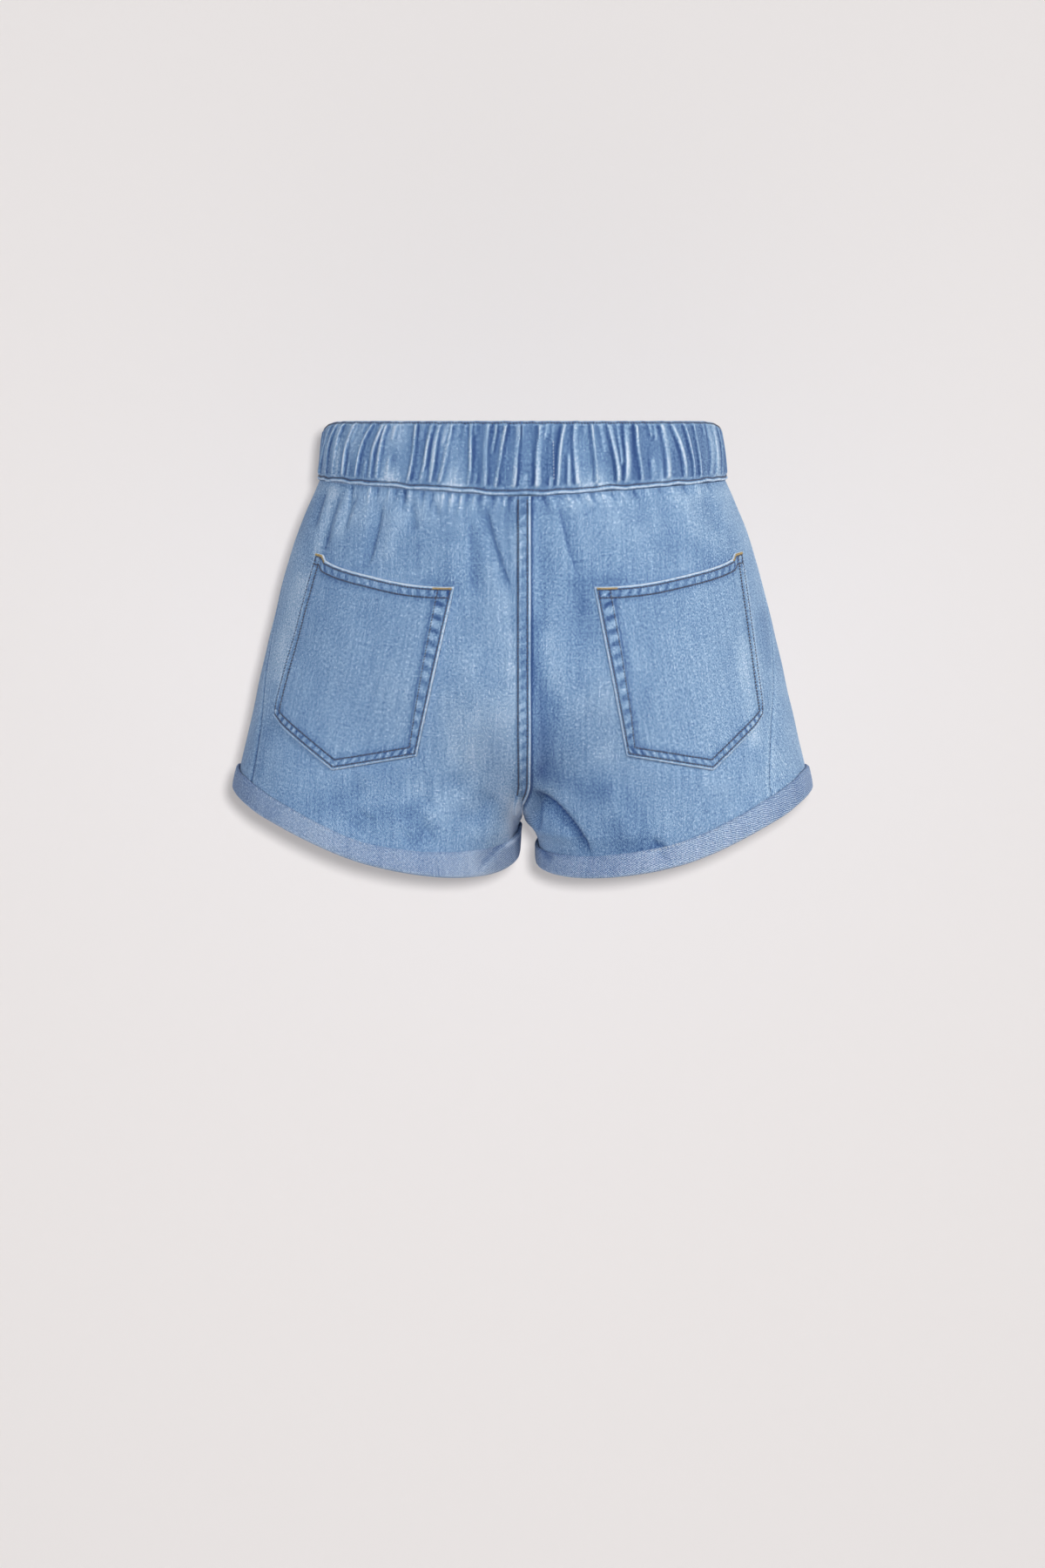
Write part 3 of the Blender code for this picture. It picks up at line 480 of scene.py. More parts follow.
# Each softbox's place, the height on the vertical axis it is aimed at, power, size and colour.
SOFTBOXES = (
    ("key_softbox", (1.7, -2.2, 1.5), -0.15, 66.0, 1.0, "#FFF5E8"),
    ("fill_softbox", (-1.8, -2.6, 0.45), -0.1, 53.0, 1.8, "#FFFFFF"),
    ("frontal_softbox", (0.2, -3.2, 0.8), -0.15, 22.0, 2.4, "#FFFFFF"),
    ("side_softbox", (3.0, -0.5, 0.5), -0.15, 52.0, 1.2, "#FFF5E8"),
    ("rear_softbox", (0.4, 2.6, 1.4), -0.15, 55.0, 1.8, "#FFFFFF"),
)

# ---------------------------------------------------------------- how finely it is made

PANEL_ROWS = 132
PANEL_COLUMNS = {"back": 250, "front": 180}
PANEL_CROWDING = {"back": 1.2, "front": 1.0}
BAND_COLUMNS = 1320
BAND_OUTSIDE_ROWS = 44
CUFF_COLUMNS = {"back": 250, "front": 210}
POCKET_GRID = (110, 120)
POCKET_PATH_STEPS = 41
FELL_COLUMNS = 26
FELL_ROWS = 240
TOP_SHARE = 0.002             # the first row of a panel or a seam lies just inside the band


# ---------------------------------------------------------------- what a user may change

def linear(hex_colour):
    """An sRGB hex colour as linear RGB."""
    channels = [int(hex_colour[i:i + 2], 16) / 255 for i in (1, 3, 5)]
    return [c / 12.92 if c <= 0.04045 else ((c + 0.055) / 1.055) ** 2.4 for c in channels]


def colour_property(name, description, hex_colour):
    return FloatVectorProperty(
        name=name, description=description, subtype="COLOR", size=3, min=0.0, max=1.0,
        default=linear(hex_colour),
    )


def length_property(name, description, millimetres):
    return FloatProperty(
        name=name, description=description, default=millimetres * MM, unit="LENGTH")


class ShortsCloth(bpy.types.PropertyGroup):
    wall: length_property("Denim", "Thickness of one layer of denim", 1.2)
    twill: length_property("Twill", "Spacing of the twill's ribs", 1.0)
    unevenness: length_property("Unevenness", "How far the cloth swells and sinks by itself", 0.28)


class ShortsSewing(bpy.types.PropertyGroup):
    stitch: length_property("Stitch", "Length of one stitch", 1.75)
    pitch: length_property("Pitch", "From one stitch to the next", 2.15)
    thread: length_property("Thread", "Thickness of the topstitching thread", 1.0)
    pucker: length_property("Pucker", "Spacing of the puckers between two rows of stitches", 9.2)
    tack_stitches: IntProperty(
        name="Bar tack", description="Stitches in one bar tack", default=15)


class ShortsColours(bpy.types.PropertyGroup):
    deep: colour_property("Deep indigo", "Where the dye is still whole", "#2C4A80")
    plain: colour_property("Washed indigo", "Most of the washed cloth", "#668AB4")
    worn: colour_property("Worn indigo", "Folds and edges that have rubbed pale", "#92B0D1")
    bleached: colour_property("Bleached", "The palest edges", "#C9D8EB")
    wrong_deep: colour_property("Wrong side, blue", "Warp threads on the wrong side", "#597CAC")
    wrong_pale: colour_property("Wrong side, pale", "Weft threads on the wrong side", "#A4BEDE")
    thread: colour_property("Thread", "Topstitching thread", "#4A4C58")
    tack: colour_property("Bar tack", "Thread of the bar tacks", "#A39268")
    raw: colour_property("Raw thread", "Loose weft threads and the band's join", "#C9D5E4")


# ---------------------------------------------------------------- curves and sections

def smooth(knots, values, x):
    """A smooth curve through a table's points."""
    knots, values = np.asarray(knots, float), np.asarray(values, float)
    slopes = np.gradient(values, knots)
    i = np.clip(np.searchsorted(knots, x, side="right") - 1, 0, len(knots) - 2)
    width = knots[i + 1] - knots[i]
    t = (x - knots[i]) / width
    rise = (1 + 2 * t) * (1 - t) ** 2 * values[i] + t * t * (3 - 2 * t) * values[i + 1]
    bend = t * (1 - t) ** 2 * slopes[i] - t * t * (1 - t) * slopes[i + 1]
    return rise + bend * width


def ease(x):
    """0 below 0, 1 above 1, and a soft S between."""
    x = np.clip(x, 0.0, 1.0)
    return x * x * (3 - 2 * x)


def step(x, start, end):
    """0 at the start, 1 at the end, and a soft S between, whichever of them is the larger."""
    return ease((x - start) / (end - start))


def bell(x):
    return np.exp(-x * x)


def near(x, place, reach):
    """1 at a place, falling to a third at this reach on both sides."""
    return bell((x - place) / reach)


def rounded(distance):
    """How far a rounded edge has fallen, from 1 on the edge to 0 where it is flat."""
    return 1 - np.sqrt(np.clip(1 - (1 - np.clip(distance, 0, 1)) ** 2, 0, 1))


def unit(vectors):
    return vectors / np.linalg.norm(vectors, axis=-1, keepdims=True)


def torso(column, share):
    return smooth(TORSO["share"], TORSO[column], share) * MM


def seam_turn(share, side):
    return smooth(TORSO["share"], TORSO[f"{SIDES[side]}_seam_turn"], share)


def at_hem(column, turn):
    return smooth(HEM["turn"], HEM[column], turn)


def squared(angle, squareness):
    """How far a rounded square reaches beyond its ellipse at this angle."""
    reach = np.abs(np.sin(angle)) ** squareness + np.abs(np.cos(angle)) ** squareness
    return reach ** (-1 / squareness)


def waist_seam_height(turn):
    turn = np.asarray(turn)
    from_centre = np.hypot(np.minimum(turn, 360 - turn) / 180, BAND_SEAM_ROUNDING)
    at_side = np.hypot(1.0, BAND_SEAM_ROUNDING)
    toward_centre = (at_side - from_centre) / (at_side - BAND_SEAM_ROUNDING)
    dip = np.where(turn < 180, BAND_SEAM_BACK_DIP, BAND_SEAM_FRONT_DIP)
    return (BAND_SEAM_SIDE - dip * np.clip(toward_centre, 0.0, 1.0) ** BAND_SEAM_DIP_POWER) * MM


def crotch_share():
    top = float(waist_seam_height(0.0))
    return (CROTCH_HEIGHT * MM - top) / (float(at_hem("height", 0.0)) * MM - top)


def leg_share(turn, share):
    """How much of the leg's loop, rather than the torso's section, the cloth follows."""
    down = np.clip((share - SEAT_CURVE_START) / (crotch_share() - SEAT_CURVE_START), 0.0, 1.0)
    at_seam = 1 - np.sqrt(1 - down ** SEAT_CURVE_POWER)
    beside = step(share, *LEG_BLEND)
    from_centre = np.minimum(turn, 360 - turn) / 180
    return beside + (at_seam - beside) * bell(from_centre / SEAT_WIDTH)


def shell(turn, share, side):
    """The smooth form of one half: turn goes from the centre back (0) round the side (180)
    to the centre front (360), and share from the waist seam (0) to the hem (1)."""
    turn, share = np.broadcast_arrays(np.asarray(turn, float), np.asarray(share, float))
    half_width = torso("half_width", share)
    below = np.clip((share - crotch_share()) / (1 - crotch_share()), 0.0, 1.0)
    inner = INNER_EDGE[side] * MM * (1 - (1 - below) ** INNER_EDGE_CURVE)

    round_torso, round_leg = np.radians(turn / 2), np.radians(turn)
    depth = np.where(turn < 180, torso("back_depth", share), torso("front_depth", share))
    leg_reach = squared(round_leg, LEG_SQUARENESS)
    leg_x = (half_width + inner) / 2 - (half_width - inner) / 2 * np.cos(round_leg) * leg_reach
    leg_y = CROTCH_Y * MM - LEG_DEPTH * MM * np.sin(round_leg) * leg_reach

    leg = leg_share(turn, share)
    x = (1 - leg) * half_width * np.sin(round_torso) + leg * leg_x
    y = (leg - 1) * depth * np.cos(round_torso) + leg * leg_y
    x = x + SEAM_GAP * MM / 2 * (1 - x / half_width)
    drop = at_hem(f"{SIDES[side]}_drop", turn) * MM
    z = waist_seam_height(turn) * (1 - share) + at_hem("height", turn) * MM * share - drop * below
    return np.stack([side * x, y, z], axis=-1)


def facing(turn, share, side):
    """The outward direction of the shell."""
    turn_step, share_step = 0.05, 0.0005
    around = shell(turn + turn_step, share, side) - shell(turn - turn_step, share, side)
    down = shell(turn, share + share_step, side) - shell(turn, share - share_step, side)
    return unit(np.cross(down, around) * side)


def beside_line(x, z, line):
    """How far places are along a line (0 to 1) and beside it, and how long the line is."""
    x0, z0, x1, z1 = (value * MM for value in line)
    length = np.hypot(x1 - x0, z1 - z0)
    run_x, run_z = (x1 - x0) / length, (z1 - z0) / length
    along = ((x - x0) * run_x + (z - z0) * run_z) / length
    return along, (z - z0) * run_x - (x - x0) * run_z, length


def fold_depth(x, z, folds):
    """How deep the cloth lies in its folds, at places seen from behind or from the front, and
    how dark the painted shade lines along their creases are."""
    depth = np.zeros(np.shape(x))
    crease = np.zeros(np.shape(x))
    for *line, bow, deep, left, right, dark in folds:
        along, aside, _ = beside_line(x, z, line)
        aside = aside - bow * MM * 4 * along * (1 - along)
        ends = ease(along / FOLD_TAPER) * ease((1 - along) / FOLD_TAPER)
        depth += deep * MM * ends * bell(aside / np.where(aside < 0, left * MM, right * MM))
        crease += dark * ends * bell(aside / (CREASE_WIDTH * MM))
    return depth, crease


def wash_and_shading(x, z):
    """How much paler or deeper the back is painted, at places seen from behind: the washing's
    unevenness, with painted light and painted shade.
    """
    wear_and_shading = np.zeros(np.shape(x))
    for *line, half_width, change in WASH_AND_SHADING:
        along, aside, length = beside_line(x, z, line)
        away = np.hypot(aside, (along - np.clip(along, 0, 1)) * length)
        wear_and_shading += change * bell(away / (half_width * MM))
    return wear_and_shading


def tuck_height(x, below, mirrored):
    """How far the small tucks under the band stand out, a distance below the waist seam."""
    height = np.zeros(np.shape(x))
    for at, reach, tall in zip(*TUCKS.values()):
        lean = TUCK_LEAN[RIGHT if at > 0 else LEFT] * np.sign(at)
        at, lean = (-at, -lean) if mirrored else (at, lean)
        across = near(x, at * MM + below * lean, TUCK_WIDTH * MM)
        height += 2 * tall * MM * across * bell(below / (1.5 * reach * MM))
    return height * ease(below / (1.5 * MM))


def uneven(x, y, z):
    """A slow swell of the cloth, from -1 to 1, the same at the same place."""
    random = np.random.default_rng(SEED)
    swell = np.zeros(np.shape(x))
    for _ in range(SWELL_WAVES):
        way = random.normal(size=3)
        way *= 2 * np.pi / (random.uniform(*SWELL_LENGTHS) * MM) / np.linalg.norm(way)
        swell += np.sin(x * way[0] + y * way[1] + z * way[2] + random.uniform(0, 2 * np.pi))
    return swell / 4


def cloth(turn, share, side, out=0.0):
    """Places on the outside of the panels, moved out where something lies on them, and how
    much paler (above 0) or deeper in colour (below 0) the cloth is there: painted shade in folds,
    creases and dents, painted highlight on fold ridges and tucks, a random tone, and the back's
    wash with painted light and shade."""
    base = shell(turn, share, side)
    normal = facing(turn, share, side)
    x, y, z = np.moveaxis(base, -1, 0)
    below = waist_seam_height(turn) - z
    behind = ease(0.5 - normal[..., 1] * 1.5)
    free = ease(np.asarray(share) / FOLD_FREE)
    folds, creases, tucks = (np.zeros(x.shape) for _ in range(3))
    for table, is_front, there in ((BACK_FOLDS, False, behind), (FRONT_FOLDS, True, 1 - behind)):
        depth, crease = fold_depth(x, z, table)
        folds += depth * there * free
        creases += crease * there * free
        tucks += tuck_height(x, below, is_front) * there
    swell = uneven(x, y, z) * bpy.context.scene.shorts_cloth.unevenness * free
    raised = np.asarray(out) - folds + tucks + swell
    # Painted shade in folds and creases, painted highlight on fold ridges and raised tucks.
    wear_and_shading = (FOLD_SHADING * folds + TUCK_SHADING * tucks) / MM + CREASE_SHADE * creases
    wear_and_shading = wear_and_shading + SWELL_FADE * uneven(x + 0.3, y, z) + wash_and_shading(x, z) * behind
    return base + normal * raised[..., None], wear_and_shading


def find_on_back(x, z, side):
    """The turn and share of the place on the back that is seen at x and z, by Newton's method."""
    turn_step, share_step = 0.1, 0.001
    top = BAND_SEAM_SIDE * MM
    share = np.clip((z - top) / (CROTCH_HEIGHT * MM - top), 0.02, 0.98)
    turn = np.degrees(np.arcsin(np.clip(np.abs(x) / torso("half_width", share), 0.0, 0.98))) * 2
    for _ in range(12):
        here = shell(turn, share, side)
        by_turn = (shell(turn + turn_step, share, side) - here) / turn_step
        by_share = (shell(turn, share + share_step, side) - here) / share_step
        miss_x, miss_z = x - here[..., 0], z - here[..., 2]
        area = by_turn[..., 0] * by_share[..., 2] - by_turn[..., 2] * by_share[..., 0]
        turn = turn + (miss_x * by_share[..., 2] - miss_z * by_share[..., 0]) / area
        share = share + (by_turn[..., 0] * miss_z - by_turn[..., 2] * miss_x) / area
        turn = np.clip(turn, 1.0, 175.0)
    return turn, share


def run_along(points, axis):
    """How far each point of a grid is along its row or column from the first, in metres."""
    steps = np.linalg.norm(np.diff(points, axis=axis), axis=-1)
    start = np.zeros_like(np.take(steps, [0], axis=axis))
    return np.concatenate([start, np.cumsum(steps, axis=axis)], axis=axis)


def crowded(count, gentle):
    """Steps from 0 to 1 that lie closer together towards both ends."""
    even = np.linspace(0.0, 1.0, count)
    return even - gentle * np.sin(2 * np.pi * even) / (2 * np.pi)


# ---------------------------------------------------------------- making meshes

def soften(piece):
    """Smooth shading, with true edges kept."""
    bpy.ops.object.select_all(action="DESELECT")
    piece.select_set(True)
    bpy.context.view_layer.objects.active = piece
    bpy.ops.object.shade_smooth_by_angle(angle=np.radians(50))
    piece.select_set(False)


def place_piece(name, points, faces, materials):
    """A mesh in the scene, riding with the shorts."""
    mesh = bpy.data.meshes.new(name)
    mesh.from_pydata(points.reshape(-1, 3).tolist(), [], faces)
    for material in materials:
        mesh.materials.append(material)
    piece = bpy.data.objects.new(name, mesh)
    bpy.context.scene.collection.objects.link(piece)
    soften(piece)
    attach(piece, "root")
    return piece


def build_cloth(name, node, points, quads, uvs, wear_and_shading, wrong_side):
    """A closed piece of cloth that stands for its solid: quads with a UV map of the cut, an
    attribute of its wear and its painted light and shade, and the denim's right and wrong side."""
    a, b, c, d = (points[quads[:, k]] - points.mean(axis=0) for k in range(4))
    if (a * np.cross(b, c)).sum() + (a * np.cross(c, d)).sum() < 0:
        quads, uvs = quads[:, ::-1], uvs[:, ::-1]
    piece = place_piece(name, points, quads.tolist(), denim_pair())
    mesh = piece.data
    mesh.uv_layers.new(name="cut").data.foreach_set("uv", uvs.reshape(-1))
    mesh.attributes.new("wear_and_shading", "FLOAT", "POINT").data.foreach_set("value", wear_and_shading.reshape(-1))
    mesh.polygons.foreach_set("material_index", wrong_side.astype(np.int32))
    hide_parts(node)
    return piece


def walled_sheet(name, node, outside, inside, uv, wear_and_shading):
    """A sheet of cloth between two grids of points, closed along its edges."""
    rows, columns = outside.shape[:2]
    under = rows * columns
    index = np.arange(under).reshape(rows, columns)
    corner = (index[:-1, :-1], index[1:, :-1], index[1:, 1:], index[:-1, 1:])
    outer = np.stack([k.ravel() for k in corner], axis=1)
    inner = outer[:, ::-1] + under
    rim = np.concatenate([index[:-1, 0], index[-1, :-1], index[:0:-1, -1], index[0, :0:-1]])
    onward = np.roll(rim, -1)
    edge = np.stack([rim + under, onward + under, onward, rim], axis=1)
    quads = np.concatenate([outer, inner, edge])
    flat_uv = np.concatenate([uv.reshape(-1, 2)] * 2)
    points = np.concatenate([outside.reshape(-1, 3), inside.reshape(-1, 3)])
    both_wear_and_shading = np.concatenate([wear_and_shading.ravel(), 0 * wear_and_shading.ravel()])
    wrong = np.repeat([0, 1, 0], [len(outer), len(inner), len(edge)])
    return build_cloth(name, node, points, quads, flat_uv[quads], both_wear_and_shading, wrong)


def ring_sheet(name, node, sections, ways, wear_and_shading, wrong_rows):
    """A closed ring of cloth, from its sections. ways says which way its cut runs."""
    count, across = sections.shape[:2]
    closed = np.pad(sections, ((0, 1), (0, 1), (0, 0)), mode="wrap")
    longest = run_along(closed, 0).max(axis=1, keepdims=True)
    uv = np.stack([ways[0] * longest + 0 * closed[..., 0], ways[1] * run_along(closed, 1)], axis=-1)
    i, j = (k.ravel() for k in np.meshgrid(np.arange(count), np.arange(across), indexing="ij"))
    corners = [(i, j), (i + 1, j), (i + 1, j + 1), (i, j + 1)]
    quads = np.stack([(a % count) * across + b % across for a, b in corners], axis=1)
    uvs = np.stack([uv[a, b] for a, b in corners], axis=1)
    wrong = np.isin(j, wrong_rows)
    return build_cloth(name, node, sections.reshape(-1, 3), quads, uvs, wear_and_shading, wrong)


# ---------------------------------------------------------------- finishes

def add_node(tree, kind, inputs=(), **settings):
    """Adds a node with its settings, and sets or links its inputs."""
    made = tree.nodes.new(kind)
    for key, value in settings.items():
        setattr(made, key, value)
    for key, value in dict(inputs).items():
        if isinstance(value, bpy.types.NodeSocket):
            tree.links.new(value, made.inputs[key])
        else:
            made.inputs[key].default_value = value
    return made


def new_finish(name, roughness, sheen):
    """An empty material with the shader's plain values set."""
    material = bpy.data.materials.new(name)
    material.use_nodes = True
    shader = material.node_tree.nodes["Principled BSDF"]
    shader.inputs["Roughness"].default_value = roughness
    shader.inputs["Specular IOR Level"].default_value = 0.25
    shader.inputs["Sheen Weight"].default_value = sheen
    shader.inputs["Sheen Roughness"].default_value = 0.5
    return material, material.node_tree, shader


def ramp(tree, value, stops):
    """A colour ramp through (place, colour) stops."""
    made = add_node(tree, "ShaderNodeValToRGB", {"Fac": value})
    steps = made.color_ramp.elements
    while len(steps) < len(stops):
        steps.new(0.5)
    for element, (place, colour) in zip(steps, stops):
        element.position = place
        element.color = (*colour, 1.0)
    return made.outputs["Color"]


def noise(tree, place, scale, detail=2.0):
    return add_node(
        tree, "ShaderNodeTexNoise", {"Vector": place, "Scale": scale, "Detail": detail},
    ).outputs["Fac"]


def mapped(tree, place, **change):
    return add_node(
        tree, "ShaderNodeMapping", {"Vector": place, **change}).outputs["Vector"]


def weave_value(tree, twill, lean, parts):
    """The weave as one number about 0: twill ribs, short slubs, specks, long streaks and clouds."""
    cut = add_node(tree, "ShaderNodeUVMap", uv_map="cut").outputs["UV"]
    ribs = add_node(
        tree, "ShaderNodeTexWave",
        {"Vector": mapped(tree, cut, Rotation=(0, 0, lean)), "Scale": WAVES_A_METRE / twill,
         "Distortion": 1.2, "Detail": 2.0, "Detail Scale": 1.5},
        wave_type="BANDS", bands_direction="X",
    ).outputs["Fac"]
    slubs = noise(tree, mapped(tree, cut, Scale=SLUBS_A_METRE), 1.0)
    specks = noise(tree, cut, SPECKS_A_METRE)
    streaks = noise(tree, mapped(tree, cut, Scale=STREAKS_A_METRE), 1.0)
    clouds = noise(tree, cut, CLOUDS_A_METRE, 4.0)
    total = None
    for source, amount in zip((ribs, slubs, specks, streaks, clouds), parts):
        inputs = {0: source, 1: amount, 2: -0.5 * amount if total is None else total}
        if total is not None:
            centred = add_node(tree, "ShaderNodeMath", {0: source, 1: 0.5}, operation="SUBTRACT")
            inputs[0] = centred.outputs["Value"]
        total = add_node(tree, "ShaderNodeMath", inputs, operation="MULTIPLY_ADD").outputs["Value"]
    return total


def denim_finish(name, stops, lean, parts, base):
    """Washed cotton denim: a dull, slightly hairy twill whose dye has rubbed off its ribs,
    slubs and edges, and which also takes painted light and shade from the mesh's attribute. The
    twill is 1 mm a rib, nearly twice the real one, so that it shows."""
    material, tree, shader = new_finish(name, 0.88, 0.12)
    weave = weave_value(tree, bpy.context.scene.shorts_cloth.twill, np.radians(lean), parts)
    wear_and_shading = add_node(tree, "ShaderNodeAttribute", attribute_name="wear_and_shading").outputs["Fac"]
    weave_wear_and_shading = add_node(tree, "ShaderNodeMath", {0: weave, 1: wear_and_shading}, operation="ADD").outputs["Value"]
    place = add_node(tree, "ShaderNodeMath", {0: weave_wear_and_shading, 1: base}, operation="ADD", use_clamp=True)
    colour = ramp(tree, place.outputs["Value"], stops)
    tree.links.new(colour, shader.inputs["Base Color"])
    bump = add_node(
        tree, "ShaderNodeBump", {"Strength": 0.55, "Distance": 0.5 * MM, "Height": weave})
    tree.links.new(bump.outputs["Normal"], shader.inputs["Normal"])
    return material


def denim_pair():
    """The right side of the denim, and its paler wrong side."""
    known = bpy.data.materials.get("stonewashed_denim")
    if known:
        return known, bpy.data.materials["denim_wrong_side"]
    c = bpy.context.scene.shorts_colours
    right_stops = ((0.0, c.deep), (0.45, c.plain), (0.72, c.worn), (1.0, c.bleached))
    wrong_stops = ((0.0, c.deep), (0.22, c.wrong_deep), (0.75, c.wrong_pale), (1.0, c.bleached))
    right = denim_finish("stonewashed_denim", right_stops, -45, RIGHT_SIDE_PARTS, 0.50)
    wrong = denim_finish("denim_wrong_side", wrong_stops, -60, WRONG_SIDE_PARTS, 0.40)
    return right, wrong


def thread_finish(name, colour):
    """Spun sewing thread: dull, with its twist showing as uneven colour."""
    material, tree, shader = new_finish(name, 0.7, 0.1)
    twist = noise(tree, add_node(tree, "ShaderNodeTexCoord").outputs["Object"], 700.0)
    dark = [0.55 * x for x in colour]
    pale = [min(1.0, 1.35 * x) for x in colour]
    tree.links.new(ramp(tree, twist, ((0.3, dark), (0.7, pale))), shader.inputs["Base Color"])
    return material


# ---------------------------------------------------------------- panels

def panel_turns(kind, share, side):
    """The turns of a panel's columns at these shares, in order round the body."""
    columns = (np.linspace(0.0, 1.0, PANEL_COLUMNS[kind]) ** PANEL_CROWDING[kind])[:, None]
    seam = seam_turn(share, side)
    start, end = (0.0, seam) if kind == "back" else (seam, 360.0)
    along = columns if kind == "back" else 1 - columns[::-1]
    return start + SEAM_GAP_TURN + along * (end - start - 2 * SEAM_GAP_TURN)


def seam_valley(distance, dark):
    """How far the cloth sinks towards a seam, and the painted shade in its valley, with a slightly
    paler strip beside it.
    """
    sink = SEAM_VALLEY_DEPTH * MM * bell(distance / (1.2 * MM))
    return sink, -dark * bell(distance / (1.4 * MM)) + 0.10 * near(distance, 3 * MM, 2 * MM)


def grain_line(across, points):
    """How far across each row of a panel its straight grain line lies."""
    aside = np.abs(points[..., 0])
    if aside[0, 0] > aside[-1, 0]:
        aside, across = aside[::-1], across[::-1]
    rows = zip(np.maximum.accumulate(aside, axis=0).T, across.T)
    return np.array([np.interp(GRAIN_LINE * MM, *row) for row in rows])[None, :]


def make_panel(kind, side, word):
    """A back panel from the centre back to the side seam, or a front one on to the centre."""
    share = np.linspace(TOP_SHARE, 1.0, PANEL_ROWS)[None, :]
    turn = panel_turns(kind, share, side)
    share = share + 0 * turn
    plain = shell(turn, share, side)
    across, down = run_along(plain, 0), run_along(plain, 1)
    to_centre, to_side = across, across[-1:] - across
    if kind == "front":
        to_centre, to_side = to_side, to_centre
    below_crotch = step(share, crotch_share(), crotch_share() + 0.02)
    # Painted shade in the valleys of the side seam and, below the crotch, the inseam.
    side_sink, side_seam_shade = seam_valley(to_side, SIDE_SEAM_DARK[side])
    inseam_sink, inseam_shade = seam_valley(to_centre, INSEAM_DARK)
    outside, wear_and_shading = cloth(turn, share, side, -side_sink - inseam_sink * below_crotch)
    at_seat = bell(plain[..., 0] / (LIP_SHADOW_WIDTH * MM))
    lip_shadow = LIP_SHADOW + LIP_SHADOW_AT_SEAT * at_seat
    wear_and_shading = wear_and_shading + side_seam_shade + inseam_shade * below_crotch
    wear_and_shading = wear_and_shading - lip_shadow * bell(down / (3 * MM)) + 0.06 * near(down, 9 * MM, 5 * MM)
    if side == RIGHT:
        beside = (outside[..., 0] - (FELL_EDGES[1] + 0.9 - fell_bend(share)) * MM) / (1.1 * MM)
        wear_and_shading = wear_and_shading - SEAT_SHADOW * bell(np.maximum(beside, 0.0)) * (share < crotch_share())
    inside, _ = cloth(turn, share, side, -bpy.context.scene.shorts_cloth.wall)
    for points in (outside, inside):
        points[..., 0] = side * np.maximum(side * points[..., 0], SEAM_GAP * MM / 2)
    uv = np.stack([side * (across - grain_line(across, plain)), down], axis=-1)
    return walled_sheet(f"denim_{kind}_{word}", f"{kind}_{word}", outside, inside, uv, wear_and_shading)


# ---------------------------------------------------------------- the waistband

def gather_list():
    """Every gather of the band: its crest's angles from the centre back at the bottom, middle
    and top, the shares of the height between which it shows, and its height."""
    half_width = BAND_HALF_WIDTH - BAND_LEAN * np.array([0.0, 0.5, 1.0])
    full_x = np.array([FULL_GATHERS[level] for level in ("bottom", "middle", "top")])
    full = np.degrees(np.arcsin(full_x / half_width[:, None]))
    gathers = [(crest, 0.0, 1.0, height) for crest, height in zip(full.T, FULL_GATHERS["height"])]
    gathers += [(180 - crest, low, high, height) for crest, low, high, height in gathers]
    for table, level in ((UPPER_GATHERS, 2), (LOWER_GATHERS, 0)):
        for x, length, height in zip(table["x"], table["length"], table["height"]):
            after = int(np.searchsorted(full_x[level], x))
            left, right = full_x[level, after - 1], full_x[level, after]
            part = (x - left) / (right - left)
            crest = full[:, after - 1] * (1 - part) + full[:, after] * part
            shown = (1 - length, 1.0) if level else (0.0, length)
            gathers.append((crest, *shown, height))
            gathers.append((180 - crest, *shown, height * FRONT_GATHER_HEIGHT))
    for middle in (-90, 90):
        for k in range(SIDE_GATHERS):
            angle = middle + (k - (SIDE_GATHERS - 1) / 2) * SIDE_GATHER_STEP
            gathers.append((np.full(3, angle), 0.0, 1.0, SIDE_GATHER_HEIGHT))
    return gathers


def apart(angle, other):
    """The angle from one to another, the short way round, in degrees."""
    return (angle - other + 180) % 360 - 180


